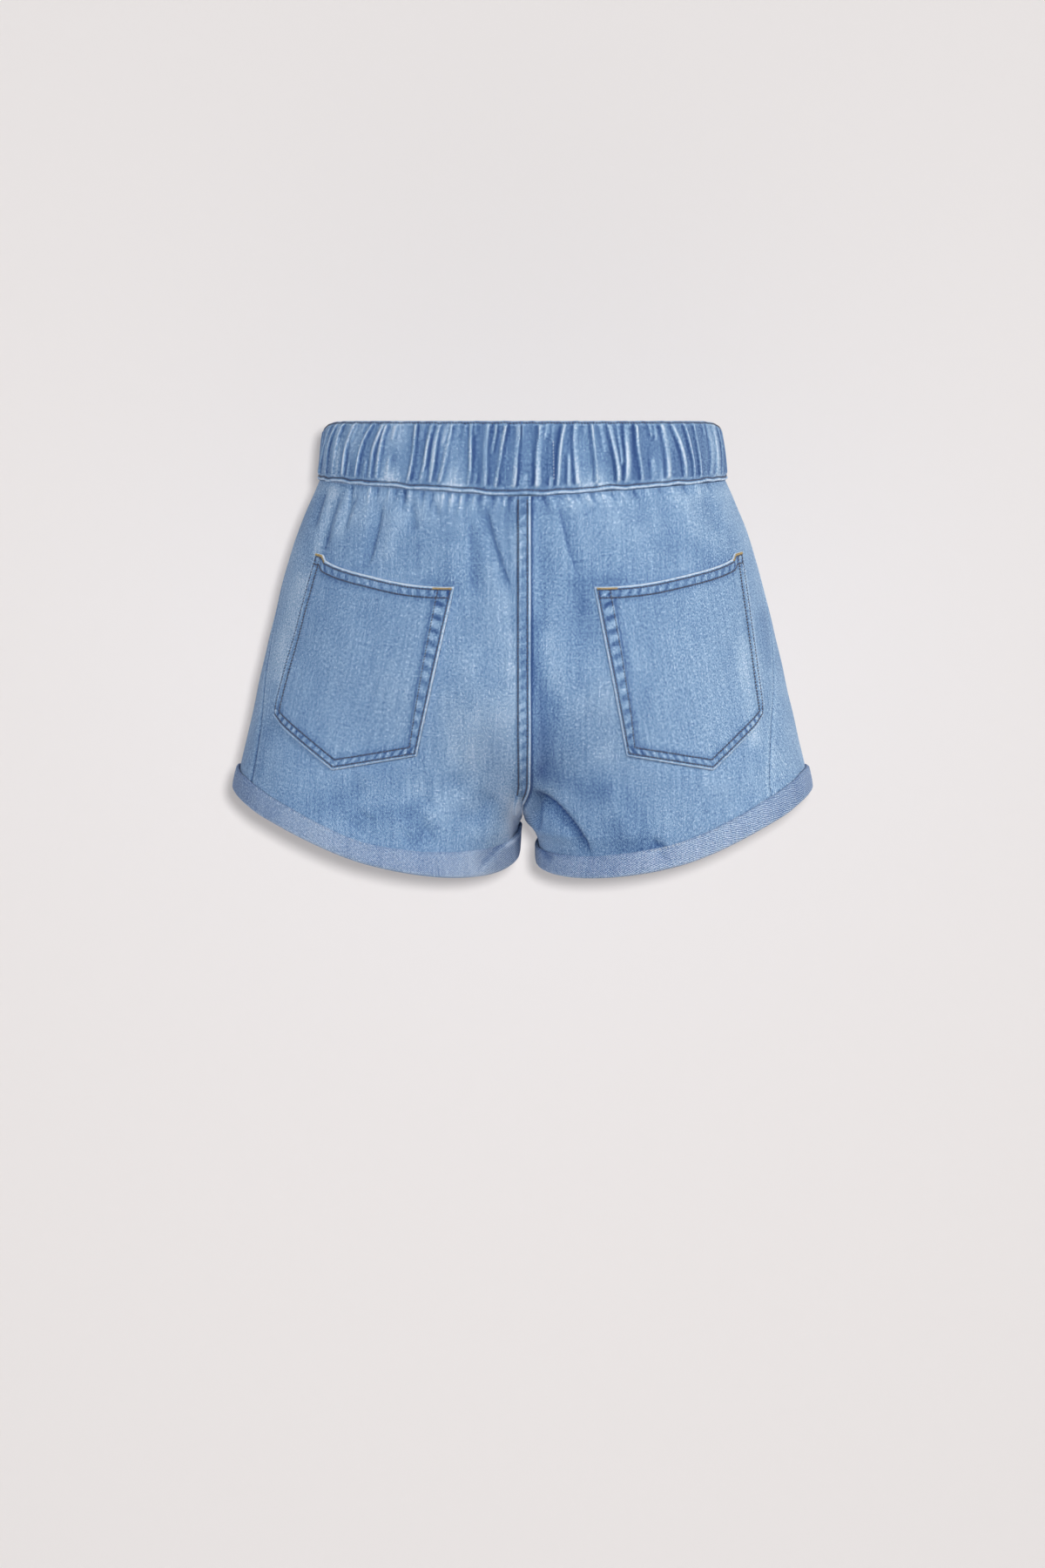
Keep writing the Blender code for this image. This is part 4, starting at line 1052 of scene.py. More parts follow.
def band_relief(angle, share):
    """How far the gathers and swells stand out of the band, and its colour: ridges rubbed pale and
    painted highlight, painted shade beside them, swells paler or deeper, and painted light on the
    left half.
    """
    around = np.radians(angle)
    speed = np.hypot(
        BAND_HALF_WIDTH * np.cos(around), BAND_HALF_DEPTH * np.sin(around)) * np.radians(1)
    inward = -np.sign(np.sin(2 * around) + 1e-9)
    levels = ((1 - share) * (1 - 2 * share), 4 * share * (1 - share), share * (2 * share - 1))
    random = np.random.default_rng(SEED)
    height, ridge, shade, pale = (np.zeros(np.broadcast(angle, share).shape) for _ in range(4))
    for crests, low, high, tall in gather_list():
        crest = sum(level * at for level, at in zip(levels, crests))
        outer_foot = GATHER_OUTER_FOOT * random.uniform(0.55, 1.75)
        inner_foot = GATHER_INNER_FOOT * random.uniform(0.8, 1.3)
        wander = GATHER_WANDER * np.sin(share * random.uniform(5, 11) + tall)
        aside = (apart(angle, crest) * speed + wander) * inward
        is_inner = aside > 0
        close = aside / np.where(is_inner, inner_foot, outer_foot)
        shows = ease((share - low) / GATHER_FADE + 1) * ease((high - share) / GATHER_FADE + 1)
        swing = 0.8 + 0.25 * np.sin(share * random.uniform(3, 8) + random.uniform(0, 6))
        strength = min(1.0, tall / 2) * swing * shows
        shape = np.where(np.abs(close) < 1, np.cos(close * np.pi / 2) ** 2, 0.0)
        outer_ridge = 0.5 * ease(1.5 * shape) + 0.5 * shape ** 2.5
        height = np.maximum(height, shape * shows * swing * tall)
        ridge = np.maximum(ridge, strength * np.where(is_inner, shape ** 2, outer_ridge))
        shade = np.maximum(shade, strength * near(aside, inner_foot * 1.1, 1.2))
    for x, half_width, level, reach, tall, paler in zip(*SWELLS.values()):
        middle = np.degrees(np.arcsin(x / BAND_HALF_WIDTH))
        for at in (middle, 180 - middle):
            shape = bell(apart(angle, at) * speed / half_width) * near(share, level, reach)
            height = height + shape * tall * 0.5
            pale = pale + shape * paler
    low, high = GATHER_ENDS
    between = ease((share - low) / GATHER_FADE) * ease((high - share) / GATHER_FADE)
    # Ridges rubbed pale with painted highlight, painted shade beside each gather's inner foot, and
    # painted light on the band's left half, which faces away from the key light.
    leftward = step(np.sin(around), -0.3, -0.7)
    wear_and_shading = (RIDGE_WEAR_AND_HIGHLIGHT * ridge + GATHER_SHADE * shade + BAND_FADE + 0.09 * leftward) * between
    wear_and_shading = wear_and_shading + SWELL_PALENESS * pale * (1 - ridge) * step(share, 0.03, 0.08)
    return height * between * MM, wear_and_shading


def band_place(angle, share, out):
    """A place on the band's ring, and the direction out of it."""
    around = np.radians(angle)
    half_width = (BAND_HALF_WIDTH - BAND_LEAN * share) * MM
    half_depth = (BAND_HALF_DEPTH - BAND_LEAN * share) * MM
    low = waist_seam_height(2 * np.abs(apart(angle, 0.0)))
    high = (BAND_TOP - BAND_TOP_DIP * np.abs(np.sin(around)) ** BAND_TOP_DIP_POWER) * MM
    outward = unit(np.stack([np.sin(around) / half_width, -np.cos(around) / half_depth], axis=-1))
    x = half_width * np.sin(around) + outward[..., 0] * out
    y = -half_depth * np.cos(around) + outward[..., 1] * out
    place = np.stack([x, y, low + (high - low) * share], axis=-1)
    return place, np.concatenate([outward, 0 * outward[..., :1]], axis=-1)


def lip_wobble(angle):
    """How far the band's sewn edge strays up and down."""
    a = np.radians(angle)
    return (0.30 * np.sin(17 * a + 1) + 0.28 * np.sin(29 * a + 2) + 0.22 * np.sin(47 * a)) * MM


def band_outside(angle, share):
    """The outside of the band: places, directions out, and colour, with a rubbed pale lip and
    painted shade in the stitch grooves.
    """
    out = smooth(BAND_OUTSIDE["share"], BAND_OUTSIDE["out"], share) * MM
    raised, wear_and_shading = band_relief(angle, share)
    at_lip, at_top = step(share, 0.14, 0.06), step(share, 0.92, 0.96)
    place, outward = band_place(angle, share, out + raised)
    place[..., 2] += lip_wobble(angle) * at_lip + 0.4 * lip_wobble(angle * 3 + 40) * at_top
    roping = np.sin(np.radians(angle) * 88 + 3 * np.sin(np.radians(angle) * 9))
    away_from_seat = 1 - bell(apart(angle, 0.0) / 5)
    wear_and_shading = wear_and_shading + at_lip * (LIP_FADE * away_from_seat * near(share, 0.026, 0.018) + 0.05 * roping)
    # Painted shade in the grooves along the rows of stitches.
    for row in BAND_STITCH_SHARES:
        wear_and_shading = wear_and_shading + BAND_GROOVE_SHADE * near(share, row, 0.020)
    return place, outward, wear_and_shading + at_top * (0.12 + 0.10 * roping)


def make_waistband():
    angle = np.linspace(0.0, 360.0, BAND_COLUMNS, endpoint=False)[:, None]
    outside, _, wear_and_shading = band_outside(angle, crowded(BAND_OUTSIDE_ROWS, 0.55)[None, :])
    inner_share, inner_out = (np.array(values)[None, :] for values in BAND_INSIDE.values())
    inside, _ = band_place(angle, inner_share, inner_out * MM + 0 * angle)
    sections = np.concatenate([outside, inside], axis=1)
    wear_and_shading = np.concatenate([wear_and_shading, np.zeros(inside.shape[:2])], axis=1)
    wrong_rows = np.arange(BAND_OUTSIDE_ROWS + 2, sections.shape[1] - 1)
    return ring_sheet("waistband_gathered", "waistband", sections, (1, -1), wear_and_shading, wrong_rows)


# ---------------------------------------------------------------- cuffs

def round_section(values, steps):
    """A closed smooth curve through a section's values, as one row."""
    values = np.asarray(values, float)[:, None]
    before, after, later = (np.roll(values, shift, axis=0) for shift in (1, -1, -2))
    t = np.arange(steps)[None, :] / steps
    bent = 0.5 * (
        2 * values + (after - before) * t
        + (2 * before - 5 * values + 4 * after - later) * t ** 2
        + (3 * values - before - 3 * after + later) * t ** 3
    )
    straight = values * (1 - t) + after * t
    return (0.6 * bent + 0.4 * straight).reshape(1, -1)


def cuff_place(turns, up, out, side):
    """A place of the cuff: up from its lowest edge and out from the panel."""
    slope = cloth(turns, 1.0, side)[0] - cloth(turns, 0.99, side)[0]
    slope = np.linalg.norm(slope, axis=-1) / 0.01
    taller = at_hem(f"{SIDES[side]}_cuff", turns) - 1
    rise = up * (1 + taller * up / CUFF_SECTION["up"][-1])
    share = 1 - (rise - CUFF_ROLL) * MM / slope
    seam_here, seam_at_hem = seam_turn(share, side), seam_turn(1.0, side)
    turns = np.where(
        turns <= seam_at_hem,
        turns * seam_here / seam_at_hem,
        360 - (360 - turns) * (360 - seam_here) / (360 - seam_at_hem),
    )
    return cloth(turns, share, side, out * MM)


def make_cuff(side, word):
    """The hem turned up once, so that the denim's wrong side shows."""
    seam = float(seam_turn(1.0, side))
    turns = np.concatenate([
        np.linspace(start, end, CUFF_COLUMNS[kind], endpoint=False)
        for kind, start, end in (("back", 0.0, seam), ("front", seam, 360.0))
    ])[:, None]
    up, out = (round_section(CUFF_SECTION[way], 4) for way in ("up", "out"))
    outer = step(out, 0.5, 2.0)
    a = np.radians(turns)
    wave = 0.25 * np.sin(11 * a + side) + 0.2 * np.sin(23 * a + 2) + 0.12 * np.sin(61 * a)
    up, out = up + 0.5 * wave * step(up, 12.0, 15.0), out + 0.6 * wave * outer
    sections, _ = cuff_place(turns, up, out, side)
    is_behind = (turns < seam) * outer
    depth, crease = fold_depth(sections[..., 0], sections[..., 2], CUFF_FOLDS)
    sections, _ = cuff_place(turns, up, out - depth / MM * is_behind, side)
    x = np.abs(sections[..., 0]) / MM
    # The hem's own uneven paleness with painted light and shade near its ends, and painted light
    # and shade that follow its waves.
    wear_and_shading = np.interp(x, *CUFF_WEAR_AND_SHADING[side]) + 0.12 * wave
    # Painted shade in the hem's folds and creases.
    wear_and_shading = wear_and_shading - (0.4 * crease + 0.12 * depth / MM) * is_behind
    # Painted shadow along the top edge, where the hem meets the leg, and painted light on its lower
    # roll.
    wear_and_shading = wear_and_shading - 0.10 * step(up, 14.4, 15.6) + 0.15 * step(up, 3.0, 0.5)
    if side == LEFT:
        wear_and_shading = wear_and_shading + RAW_EDGE_FADE * near(up, 15.0, 0.9) * step(x, 14, 10) * is_behind
    every_row = np.arange(sections.shape[1])
    return ring_sheet(f"turn_up_{word}", f"cuff_{word}", sections, (side, 1), wear_and_shading, every_row)


# ---------------------------------------------------------------- pockets

def pocket_place(across, down, side):
    """Where a place on the pocket patch is seen from behind."""
    corners = {name: np.array(at) * MM for name, at in POCKET_CORNERS[side].items()}
    across = np.asarray(across, float)[..., None]
    down = np.asarray(down, float)[..., None]
    mouth = corners["inner_top"] * (1 - across) + corners["outer_top"] * across
    power = np.where(across < 0.5, *POCKET_MOUTH_POWERS)
    sag = POCKET_MOUTH_SAG * (1 - np.abs(2 * across - 1) ** power)
    sag = sag * step(across, POCKET_TAB + 0.02, POCKET_TAB)
    mouth = mouth - sag * MM * np.array([0.0, 1.0])
    to_point = np.clip(across / POCKET_POINT_SHARE, 0.0, 1.0)
    past_point = np.clip((across - POCKET_POINT_SHARE) / (1 - POCKET_POINT_SHARE), 0.0, 1.0)
    foot = corners["inner_bottom"] * (1 - to_point) + corners["point"] * to_point
    foot = foot + (corners["outer_bottom"] - corners["point"]) * past_point
    inward = unit((corners["inner_top"] + corners["outer_bottom"]) / 2 - corners["outer_bottom"])
    corner = near(across, 1, 0.06) * near(down, 1, 0.06)
    return mouth * (1 - down) + foot * down + POCKET_ROUNDING * MM * corner * inward


def pocket_on_cloth(across, down, side, out):
    """Places of the cloth under a place on the pocket patch, with its wear and painted light and
    shade, and its turn and share.
    """
    place = pocket_place(across, down, side)
    found = find_on_back(place[..., 0], place[..., 1], side)
    return (*cloth(*found, side, out), found)


def pucker(along, between, strength):
    """Puckers between two rows of stitches: spots that sink, darker with dye and with painted
    shade, and rubbed pale rises.
    along is the distance along the rows and between runs from 0 at one row to 1 at the other."""
    spacing = bpy.context.scene.shorts_sewing.pucker / MM
    phase = along / spacing * 2 * np.pi + 0.9 * np.sin(along / 23) + 0.5 * np.sin(along / 9 + 1)
    inside = ease(1.6 * np.clip(1 - np.abs(between - 0.5) * 2, 0.0, 1.0))
    unevenly = 0.75 + 0.25 * np.sin(along / 31 + 2)
    return np.cos(phase + 2.5 * (between - 0.5)) * inside * strength * unevenly


def make_pocket(side, word):
    """A patch on the back panel: edges turned in, a hemmed mouth, puckers along the sewing."""
    wall = bpy.context.scene.shorts_cloth.wall
    across, down = np.meshgrid(*(crowded(count, 0.6) for count in POCKET_GRID), indexing="ij")
    flat, _, _ = pocket_on_cloth(across, down, side, 0.0)
    inner, mouth = run_along(flat, 0) / MM, run_along(flat, 1) / MM
    edge = {"inner": inner, "outer": inner[-1:] - inner, "mouth": mouth,
            "foot": (mouth[:, -1:] - mouth) * POCKET_SLANT}
    rows = {**POCKET_ROWS, "inner": np.interp(down, *POCKET_INNER_ROW)}
    nearest = np.minimum.reduce(list(edge.values()))
    thick, wear_and_shading, groove = (np.zeros(across.shape) for _ in range(3))
    for name, (start, pace, strength, deep) in POCKET_PUCKERS.items():
        distance, row = edge[name], rows[name]
        if name in ("inner", "outer"):
            along = mouth + start
            others = [edge[other] - rows[other] for other in edge if other != name]
        else:
            along = inner + start
            others = [edge["inner"], edge["outer"]]
        clear = ease(np.minimum.reduce(others) / 3)
        between = (distance - POCKET_EDGE_ROW) / (row - POCKET_EDGE_ROW)
        spots = pucker(along * pace, between, strength) * clear
        thick = np.maximum(thick, HEM_RISE * step(distance, row + 1.2, row - 0.2))
        thick = thick + PUCKER_RISE * spots
        # Puckers: sunken spots darker with dye and with painted shade, rises rubbed pale.
        wear_and_shading = wear_and_shading + np.where(spots > 0, 0.16, 0.55) * spots
        # Painted shadow just beyond each inner row of stitches.
        wear_and_shading = wear_and_shading - 0.10 * near(distance, row + 2.0, 1.6) * clear
        for line in (POCKET_EDGE_ROW, row):
            groove = np.maximum(groove, deep * near(distance, line, 0.75) * (nearest > 0.7))
    out = (POCKET_GAP + thick - 0.30 * groove) * MM + wall
    out = out - rounded(nearest / 0.9) * (wall + 0.3 * MM)
    outside, under, _ = pocket_on_cloth(across, down, side, out)
    inside, _, _ = pocket_on_cloth(
        across, down, side, np.minimum(out - 0.35 * MM, POCKET_GAP * MM))
    # Painted shade in the stitch grooves; rubbed pale edges.
    wear_and_shading = wear_and_shading + 0.6 * under + POCKET_GROOVE_SHADE * groove + EDGE_FADE * bell(nearest)
    wear_and_shading = wear_and_shading + 0.22 * near(mouth, 0.8, 1.1) + 0.10 * near(edge["outer"], 3.0, 3.0)
    wear_and_shading = wear_and_shading + 0.10 * near(across, 0.45, 0.35) * near(down, 0.6, 0.45) - 0.04
    uv = np.stack([side * inner, mouth], axis=-1) * MM
    return walled_sheet(f"patch_pocket_{word}", f"pocket_{word}", outside, inside, uv, wear_and_shading)


def pocket_rows(side):
    """The rows of stitches on a pocket, as (across, down) paths: two round its sides and
    foot and two along its mouth."""
    at = np.linspace(0, 1, POCKET_PATH_STEPS)
    flat, _, _ = pocket_on_cloth(*np.meshgrid(at, at, indexing="ij"), side, 0.0)
    width, height = run_along(flat, 0)[-1] / MM, run_along(flat, 1)[:, -1] / MM
    steps = np.linspace(0.012, 1.0, 160)
    rows = []
    for inner, outer, foot in (
        (0 * at + POCKET_EDGE_ROW, POCKET_EDGE_ROW, POCKET_EDGE_ROW),
        (np.interp(at, *POCKET_INNER_ROW), POCKET_ROWS["outer"], POCKET_ROWS["foot"]),
    ):
        inner_across, outer_across = inner / width, 1 - outer / width
        foot_down = 1 - foot / POCKET_SLANT / height
        inner_down = steps * np.interp(inner_across[-1], at, foot_down)
        outer_down = steps[::-1] * np.interp(outer_across[-1], at, foot_down)
        inner_side = [np.interp(inner_down, at, inner_across), inner_down]
        outer_side = [np.interp(outer_down, at, outer_across), outer_down]
        start, end = inner_side[0][-1], outer_side[0][0]
        foot_across = start + steps * (end - start)
        foot_side = [foot_across, np.interp(foot_across, at, foot_down)]
        rows.append(np.concatenate([inner_side, foot_side, outer_side], axis=1))
    along = np.linspace(0.02, 0.985, 200)
    for distance in (POCKET_EDGE_ROW, POCKET_ROWS["mouth"]):
        rows.append(np.stack([along, distance / np.interp(along, at, height)]))
    return rows


# ---------------------------------------------------------------- centre seams

def fell_bend(rows):
    """How far, in millimetres, the foot of a centre seam swings to the left."""
    along = (rows - FELL_SWING_START) / (SEAM_ENDS["seat"] - FELL_SWING_START)
    return FELL_SWING * np.clip(along, 0, 1) ** 1.6


def fell_place(across, rows, out, is_back):
    """Places on a felled seam, across in millimetres from the middle, with directions and the
    cloth's wear and painted light and shade.
    """
    at = across - fell_bend(rows) if is_back else across + 0 * rows
    centre, inward = (0.0, 1.0) if is_back else (360.0, -1.0)
    halves = []
    for side in SIDES:
        run = shell(centre + inward * 2, rows, side) - shell(centre + inward, rows, side)
        turn = centre + inward * np.abs(at) * MM / np.linalg.norm(run, axis=-1)
        place, wear_and_shading = cloth(turn, rows, side, out)
        halves.append(np.concatenate([place, wear_and_shading[..., None], facing(turn, rows, side)], axis=-1))
    both = np.where((at < 0)[..., None], *halves)
    return both[..., :3], both[..., 3], both[..., 4:]


def make_fell(word):
    """The felled strip over a centre seam: flush on its left, a folded lip on its right."""
    is_back = word == "seat"
    across = np.linspace(*FELL_EDGES, FELL_COLUMNS)[:, None]
    rows = np.linspace(TOP_SHARE, SEAM_ENDS[word], FELL_ROWS)[None, :]
    down = rows * FELL_LENGTH
    left, right = FELL_STITCH_ROWS
    spots = pucker(down * 1.05, (across - left) / (right - left), 1.0)
    grooves = near(across, left, 0.65) + near(across, right, 0.65)
    lip = across - FELL_EDGES[1]
    flush = ease((across - FELL_EDGES[0]) / 4)
    rise = (FELL_GAP + FELL_THICKNESS + 0.1) * flush - 0.1 + 0.12 * spots - 0.28 * grooves * flush
    high = rise - 0.9 * rounded(-lip / 0.8) + 0.15 * np.sin(down / 13) * bell(lip / 2)
    outside, wear_and_shading, _ = fell_place(across, rows, high * MM, is_back)
    inside, _, _ = fell_place(across, rows, np.minimum(high - 0.12, FELL_GAP) * MM, is_back)
    # Painted shade in the stitch grooves; a rubbed pale lip.
    wear_and_shading = wear_and_shading + 0.14 * spots - 0.30 * grooves + EDGE_FADE * near(lip, -0.6, 0.8) - 0.08
    wear_and_shading = wear_and_shading + 0.10 * near(across, left + 1.5, 1.0)
    towards_right = 1 if is_back else -1
    uv = np.stack([towards_right * run_along(outside, 0), run_along(outside, 1)], axis=-1)
    return walled_sheet(f"{word}_seam_fell", f"{word}_seam", outside, inside, uv, wear_and_shading)


# ---------------------------------------------------------------- thread

def thread_shape(length, width):
    """One stitch, made once: a spindle of thread along X, as points and faces."""
    bpy.ops.object.select_all(action="DESELECT")
    bpy.ops.mesh.primitive_uv_sphere_add(
        segments=6, ring_count=6, radius=1.0, rotation=(0, np.pi / 2, 0))
    model = bpy.context.active_object
    bpy.ops.object.transform_apply(location=True, rotation=True, scale=True)
    points = np.array([v.co for v in model.data.vertices])
    points[:, 0] = np.sign(points[:, 0]) * np.abs(points[:, 0]) ** 0.75 * length / 2
    points[:, 1:] *= width / 2
    faces = [tuple(face.vertices) for face in model.data.polygons]
    bpy.data.objects.remove(model, do_unlink=True)
    return points, faces


def lay_threads(name, finish, shape, threads):
    """One piece of many stitches, each lying along its way and up from the cloth. threads are
    groups of (middles, ways, normals)."""
    points, faces = shape
    middles, ways, normals = (np.concatenate(column) for column in zip(*threads))
    ways = unit(ways)
    aside = unit(np.cross(normals, ways))
    turned = np.stack([ways, aside, np.cross(ways, aside)], axis=1)
    every = middles[:, None, :] + np.einsum("pk,skx->spx", points, turned)
    starts = (len(points) * np.arange(len(middles))).tolist()
    every_face = [tuple(v + start for v in face) for start in starts for face in faces]
    return place_piece(name, every, every_face, [finish])


def stitch_row(points, normals, pitch):
    """The middles, ways and normals of the stitches along a row."""
    along = np.concatenate([[0.0], np.cumsum(np.linalg.norm(np.diff(points, axis=0), axis=1))])
    at = np.arange(pitch / 2, along[-1] - pitch / 4, pitch)

    def on_row(values, place):
        return np.stack([np.interp(place, along, column) for column in values.T], axis=1)

    run = on_row(points, at + pitch / 3) - on_row(points, at - pitch / 3)
    normal = on_row(normals, at)
    leaning = run - STITCH_LEAN * np.cross(normal, run)
    return on_row(points, at) + normal * STITCH_LIFT * MM, leaning, normal


def sew(name, rows, finish, shape, pitch):
    """Stitches along several rows of (points, normals), as one piece."""
    return lay_threads(name, finish, shape, [stitch_row(*row, pitch) for row in rows])


def on_pocket(path, side, lift):
    """Points and normals of a path on a pocket."""
    height = (POCKET_GAP + 0.2 + lift) * MM + bpy.context.scene.shorts_cloth.wall
    points, _, found = pocket_on_cloth(*path, side, height)
    return points, facing(*found, side)


def pocket_tacks(side):
    """The threads of the bar tacks at both ends of a pocket's mouth."""
    count = 2 * bpy.context.scene.shorts_sewing.tack_stitches
    alternate = np.where(np.arange(count) % 2, 1.0, -1.0)[:, None]
    threads = []
    for start, end, down in TACKS:
        path = np.linspace(start, end, count), np.full(count, down)
        points, normal = on_pocket(path, side, 0.25)
        run = np.gradient(points, axis=0)
        ways = unit(np.cross(normal, run)) + 0.35 * alternate * unit(run)
        threads.append((points, ways, normal))
    return threads


def cuff_threads(side):
    """Short raw ends of weft along a cuff's top edge."""
    near_end, far_end, count = RAW_ENDS[side]
    random = np.random.default_rng(SEED + side)
    turns = np.linspace(2.0, 150.0, 400)[:, None]
    top, _ = cuff_place(turns, np.array([[RAW_EDGE]]), np.array([[3.0]]), side)
    at = random.uniform(near_end, far_end, count)
    turn = np.interp(at, np.abs(top[:, 0, 0]) / MM, turns[:, 0])[:, None]
    ends = []
    for lowest, highest, out in ((-1.4, -0.2, 2.9), (0.2, 0.9, 2.7)):
        up = RAW_EDGE + random.uniform(lowest, highest, (count, 1))
        ends.append(cuff_place(turn, up, np.full((count, 1), out), side)[0][:, 0])
    ways = ends[1] - ends[0] + random.normal(0, 0.35 * MM, (count, 3))
    normal = facing(turn[:, 0], np.full(count, 0.96), side)
    return [((ends[0] + ends[1]) / 2 + normal * 0.15 * MM, ways, normal)]


# ---------------------------------------------------------------- operators

class SHORTS_OT_waistband(bpy.types.Operator):
    """Make the gathered elastic waistband"""
    bl_idname = "shorts.waistband"
    bl_label = "Waistband"
    bl_options = {"REGISTER", "UNDO"}

    def execute(self, context):
        make_waistband()
        return {"FINISHED"}


class SHORTS_OT_panels(bpy.types.Operator):
    """Make the two back panels and the two front panels"""
    bl_idname = "shorts.panels"
    bl_label = "Panels"
    bl_options = {"REGISTER", "UNDO"}

    def execute(self, context):
        for side, word in SIDES.items():
            for kind, (flat, area) in PANEL_CUTS.items():
                panel = make_panel(kind, side, word)
        return {"FINISHED"}


class SHORTS_OT_pockets(bpy.types.Operator):
    """Make the two patch pockets"""
    bl_idname = "shorts.pockets"
    bl_label = "Back pockets"
    bl_options = {"REGISTER", "UNDO"}

    def execute(self, context):
        for side, word in SIDES.items():
            pocket = make_pocket(side, word)
        return {"FINISHED"}


class SHORTS_OT_cuffs(bpy.types.Operator):
    """Make the two turned-up hems"""
    bl_idname = "shorts.cuffs"
    bl_label = "Turned-up hems"
    bl_options = {"REGISTER", "UNDO"}

    def execute(self, context):
        for side, word in SIDES.items():
            cuff = make_cuff(side, word)
        return {"FINISHED"}


class SHORTS_OT_centre_seams(bpy.types.Operator):
    """Make the felled seams down the centre back and the centre front"""
    bl_idname = "shorts.centre_seams"
    bl_label = "Centre seams"
    bl_options = {"REGISTER", "UNDO"}

    def execute(self, context):
        for word, kind, length in (("seat", "back", 0.25), ("front", "front", 0.245)):
            make_fell(word)
        return {"FINISHED"}


class SHORTS_OT_topstitching(bpy.types.Operator):
    """Sew the rows of topstitching, the bar tacks, the band's join and the raw thread ends"""
    bl_idname = "shorts.topstitching"
    bl_label = "Topstitching"
    bl_options = {"REGISTER", "UNDO"}

    def execute(self, context):
        sizes, colours = context.scene.shorts_sewing, context.scene.shorts_colours
        thread = thread_finish("topstitch_thread", colours.thread)
        tack = thread_finish("bar_tack_thread", colours.tack)
        raw = thread_finish("raw_cotton_thread", colours.raw)
        topstitch = thread, thread_shape(sizes.stitch, sizes.thread), sizes.pitch
        tack_shape, raw_shape = (thread_shape(*size) for size in (TACK_THREAD, RAW_THREAD))

        angle = np.linspace(0.0, 360.0, 3000)
        rows = [band_outside(angle, 0 * angle + share)[:2] for share in BAND_STITCH_SHARES]
        sew("stitches_waistband", rows, *topstitch)

        for word, end in SEAM_ENDS.items():
            rows = []
            for across, stop in zip(FELL_STITCH_ROWS, FELL_STITCH_STOPS):
                shares = np.linspace(0.01, end - stop, 300)
                out = (FELL_GAP + FELL_THICKNESS - 0.2) * MM
                rows.append(fell_place(across, shares, out, word == "seat")[::2])
            sew(f"stitches_{word}_seam", rows, *topstitch)

        for side, word in SIDES.items():
            rows = [on_pocket(path, side, 0.0) for path in pocket_rows(side)]
            sew(f"stitches_pocket_{word}", rows, *topstitch)
            lay_threads(f"bar_tacks_{word}", tack, tack_shape, pocket_tacks(side))

        height = np.linspace(0.20, 0.74, 60)
        join = band_outside(BAND_JOIN_ANGLE - 0.1 * height, height)[:2]
        sew("stitches_band_join", [join], raw, thread_shape(0.9 * MM, 0.7 * MM), 2.3 * MM)

        for side, word in SIDES.items():
            lay_threads(f"raw_ends_{word}", raw, raw_shape, cuff_threads(side))
        return {"FINISHED"}


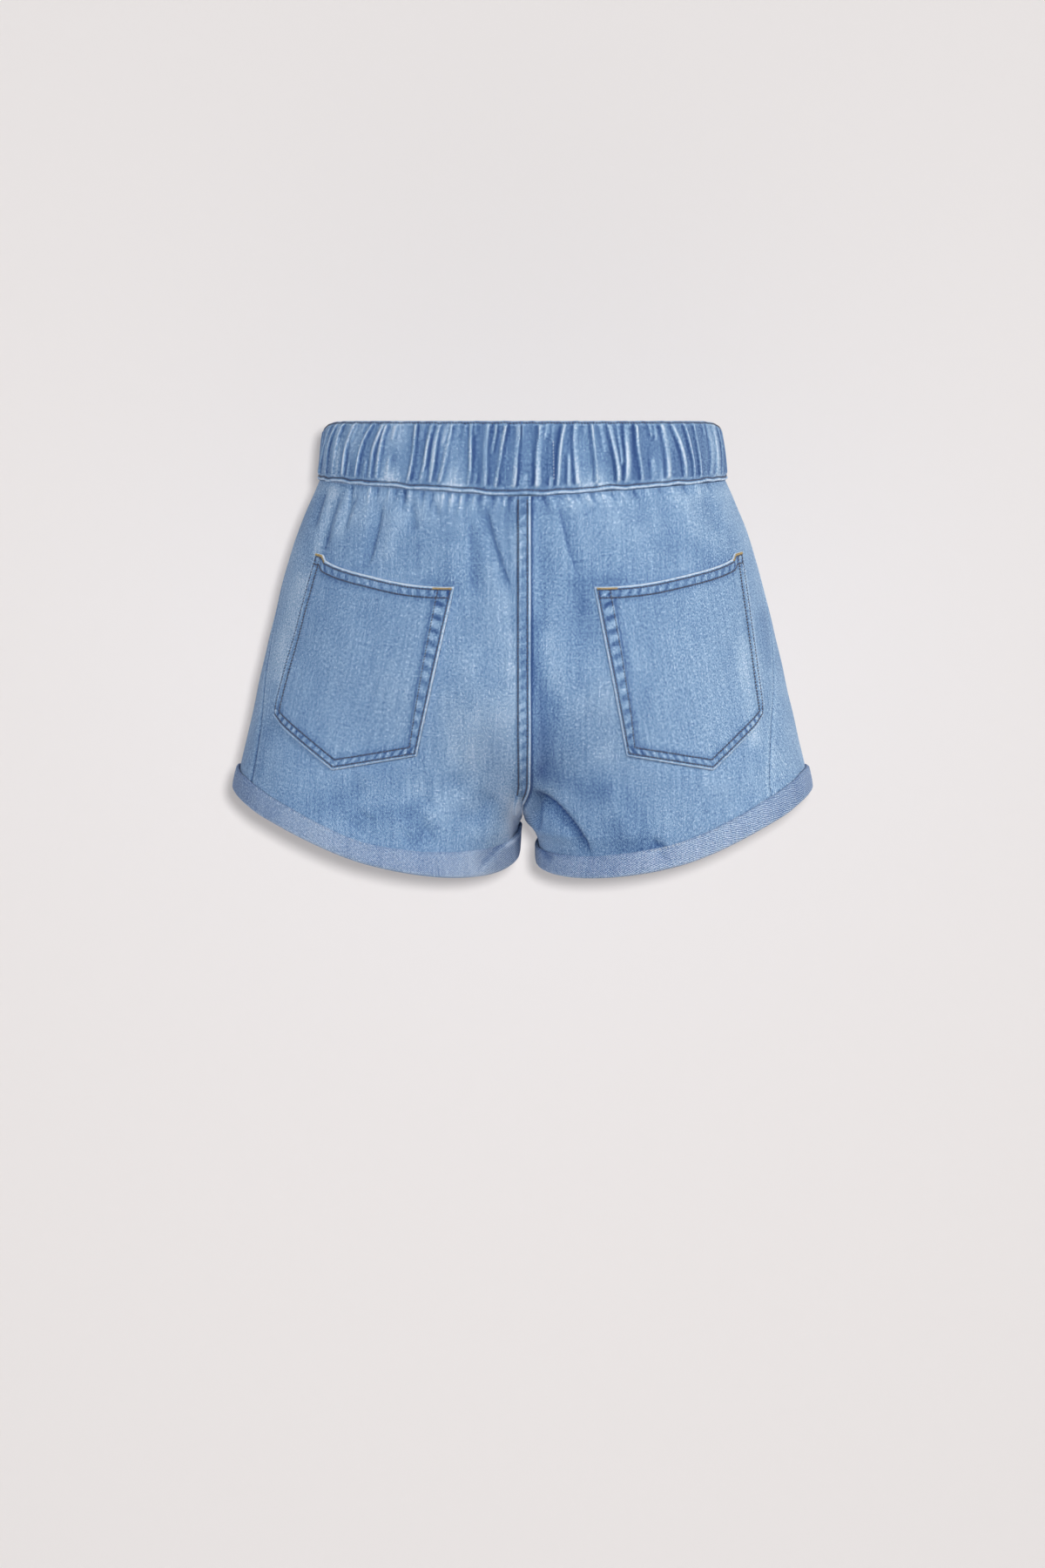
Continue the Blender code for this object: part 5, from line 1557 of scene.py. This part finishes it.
class SHORTS_OT_stage(bpy.types.Operator):
    """Set up the floor, the paper behind the shorts, the lights and the camera"""
    bl_idname = "shorts.stage"
    bl_label = "Stage"
    bl_options = {"REGISTER", "UNDO"}

    def execute(self, context):
        scene = context.scene
        scene.view_settings.view_transform = "Standard"
        scene.view_settings.look = "None"
        paper = self.paper_finish()
        upright = (np.pi / 2, 0, 0)
        bpy.ops.object.select_all(action="DESELECT")
        bpy.ops.mesh.primitive_plane_add(size=40.0, location=(0, 0, -2.6))
        floor = context.active_object
        bpy.ops.mesh.primitive_plane_add(size=6.0, location=(0, 0.30, 0.3), rotation=upright)
        backdrop = context.active_object
        floor.name, backdrop.name = "paper_floor", "paper_behind"
        for sheet_of_paper in (floor, backdrop):
            sheet_of_paper.data.materials.append(paper)

        scene.world = bpy.data.worlds.new("studio_air")
        scene.world.use_nodes = True
        air = scene.world.node_tree.nodes["Background"]
        air.inputs["Color"].default_value = (*linear("#E9E6E5"), 1.0)
        air.inputs["Strength"].default_value = 0.05

        # The paper and the shorts are lit apart, as on a cut-out catalogue page. The soft fill
        # on the paper is let through the shorts, so that only the front light draws a shadow.
        papers = bpy.data.collections.new("papers")
        cloths = bpy.data.collections.new("cloths")
        for piece in scene.objects:
            if piece.type == "MESH":
                (papers if piece in (floor, backdrop) else cloths).objects.link(piece)
        for name, place, aim_height, energy, size, colour in SOFTBOXES:
            light = self.add_light(name, "AREA", place, aim_height, energy, cloths)
            light.data.size = size
            light.data.color = linear(colour)
        front = self.add_light("front_light", "POINT", (0.050, -2.8, 0.068), 0.0, 199.0, papers)
        front.data.shadow_soft_size = 0.042
        paper_fill = self.add_light("paper_fill", "SUN", (0.0, -1.0, 0.1), 0.0, 1.08, papers)
        paper_fill.data.angle = np.radians(20)
        paper_fill.light_linking.blocker_collection = papers

        camera_data = bpy.data.cameras.new("camera")
        camera_data.sensor_fit = "VERTICAL"
        camera_data.sensor_height = 36.0
        camera_data.sensor_width = 36.0
        camera_data.lens = 88.72
        camera_data.clip_end = 50.0
        camera = bpy.data.objects.new("camera", camera_data)
        camera.location = (0.0, -2.8, 0.02)
        aim = Vector((0.0, 0.0, -0.242)) - camera.location
        camera.rotation_euler = aim.to_track_quat("-Z", "Y").to_euler()
        scene.collection.objects.link(camera)
        scene.camera = camera
        return {"FINISHED"}

    def paper_finish(self):
        """Seamless background paper: matt and even. Seen from behind it lets the view through."""
        material, tree, shader = new_finish("background_paper", 0.95, 0.0)
        shader.inputs["Base Color"].default_value = (*linear("#E9E5E4"), 1.0)
        shader.inputs["Specular IOR Level"].default_value = 0.0
        side = add_node(tree, "ShaderNodeNewGeometry").outputs["Backfacing"]
        clear = add_node(tree, "ShaderNodeBsdfTransparent").outputs["BSDF"]
        mix = add_node(tree, "ShaderNodeMixShader", {0: side, 1: shader.outputs["BSDF"], 2: clear})
        tree.links.new(mix.outputs["Shader"], tree.nodes["Material Output"].inputs["Surface"])
        return material

    def add_light(self, name, kind, place, aim_height, energy, receivers):
        """A light aimed at this height on the vertical axis, which lights only its receivers."""
        light = bpy.data.objects.new(name, bpy.data.lights.new(name, kind))
        light.location = place
        aim = Vector((0, 0, aim_height)) - Vector(place)
        light.rotation_euler = aim.to_track_quat("-Z", "Y").to_euler()
        light.data.energy = energy
        light.light_linking.receiver_collection = receivers
        bpy.context.scene.collection.objects.link(light)
        return light


class SHORTS_PT_panel(bpy.types.Panel):
    bl_label = "Denim shorts"
    bl_idname = "SHORTS_PT_panel"
    bl_space_type = "VIEW_3D"
    bl_region_type = "UI"
    bl_category = "Shorts"

    def draw(self, context):
        for name in GROUPS:
            group = getattr(context.scene, name)
            box = self.layout.box()
            for setting in group.__annotations__:
                box.prop(group, setting)
        for operator in OPERATORS:
            self.layout.operator(operator.bl_idname)


OPERATORS = (
    SHORTS_OT_waistband,
    SHORTS_OT_panels,
    SHORTS_OT_pockets,
    SHORTS_OT_cuffs,
    SHORTS_OT_centre_seams,
    SHORTS_OT_topstitching,
    SHORTS_OT_stage,
)
GROUPS = {
    "shorts_cloth": ShortsCloth,
    "shorts_sewing": ShortsSewing,
    "shorts_colours": ShortsColours,
}
CLASSES = (*GROUPS.values(), *OPERATORS, SHORTS_PT_panel)


def register():
    for made in CLASSES:
        bpy.utils.register_class(made)
    for name, group in GROUPS.items():
        setattr(bpy.types.Scene, name, PointerProperty(type=group))


def unregister():
    for name in GROUPS:
        delattr(bpy.types.Scene, name)
    for made in reversed(CLASSES):
        bpy.utils.unregister_class(made)


def main():
    register()
    bpy.ops.shorts.waistband()
    bpy.ops.shorts.panels()
    bpy.ops.shorts.pockets()
    bpy.ops.shorts.cuffs()
    bpy.ops.shorts.centre_seams()
    bpy.ops.shorts.topstitching()
    bpy.ops.shorts.stage()


if __name__ == "__main__":
    main()
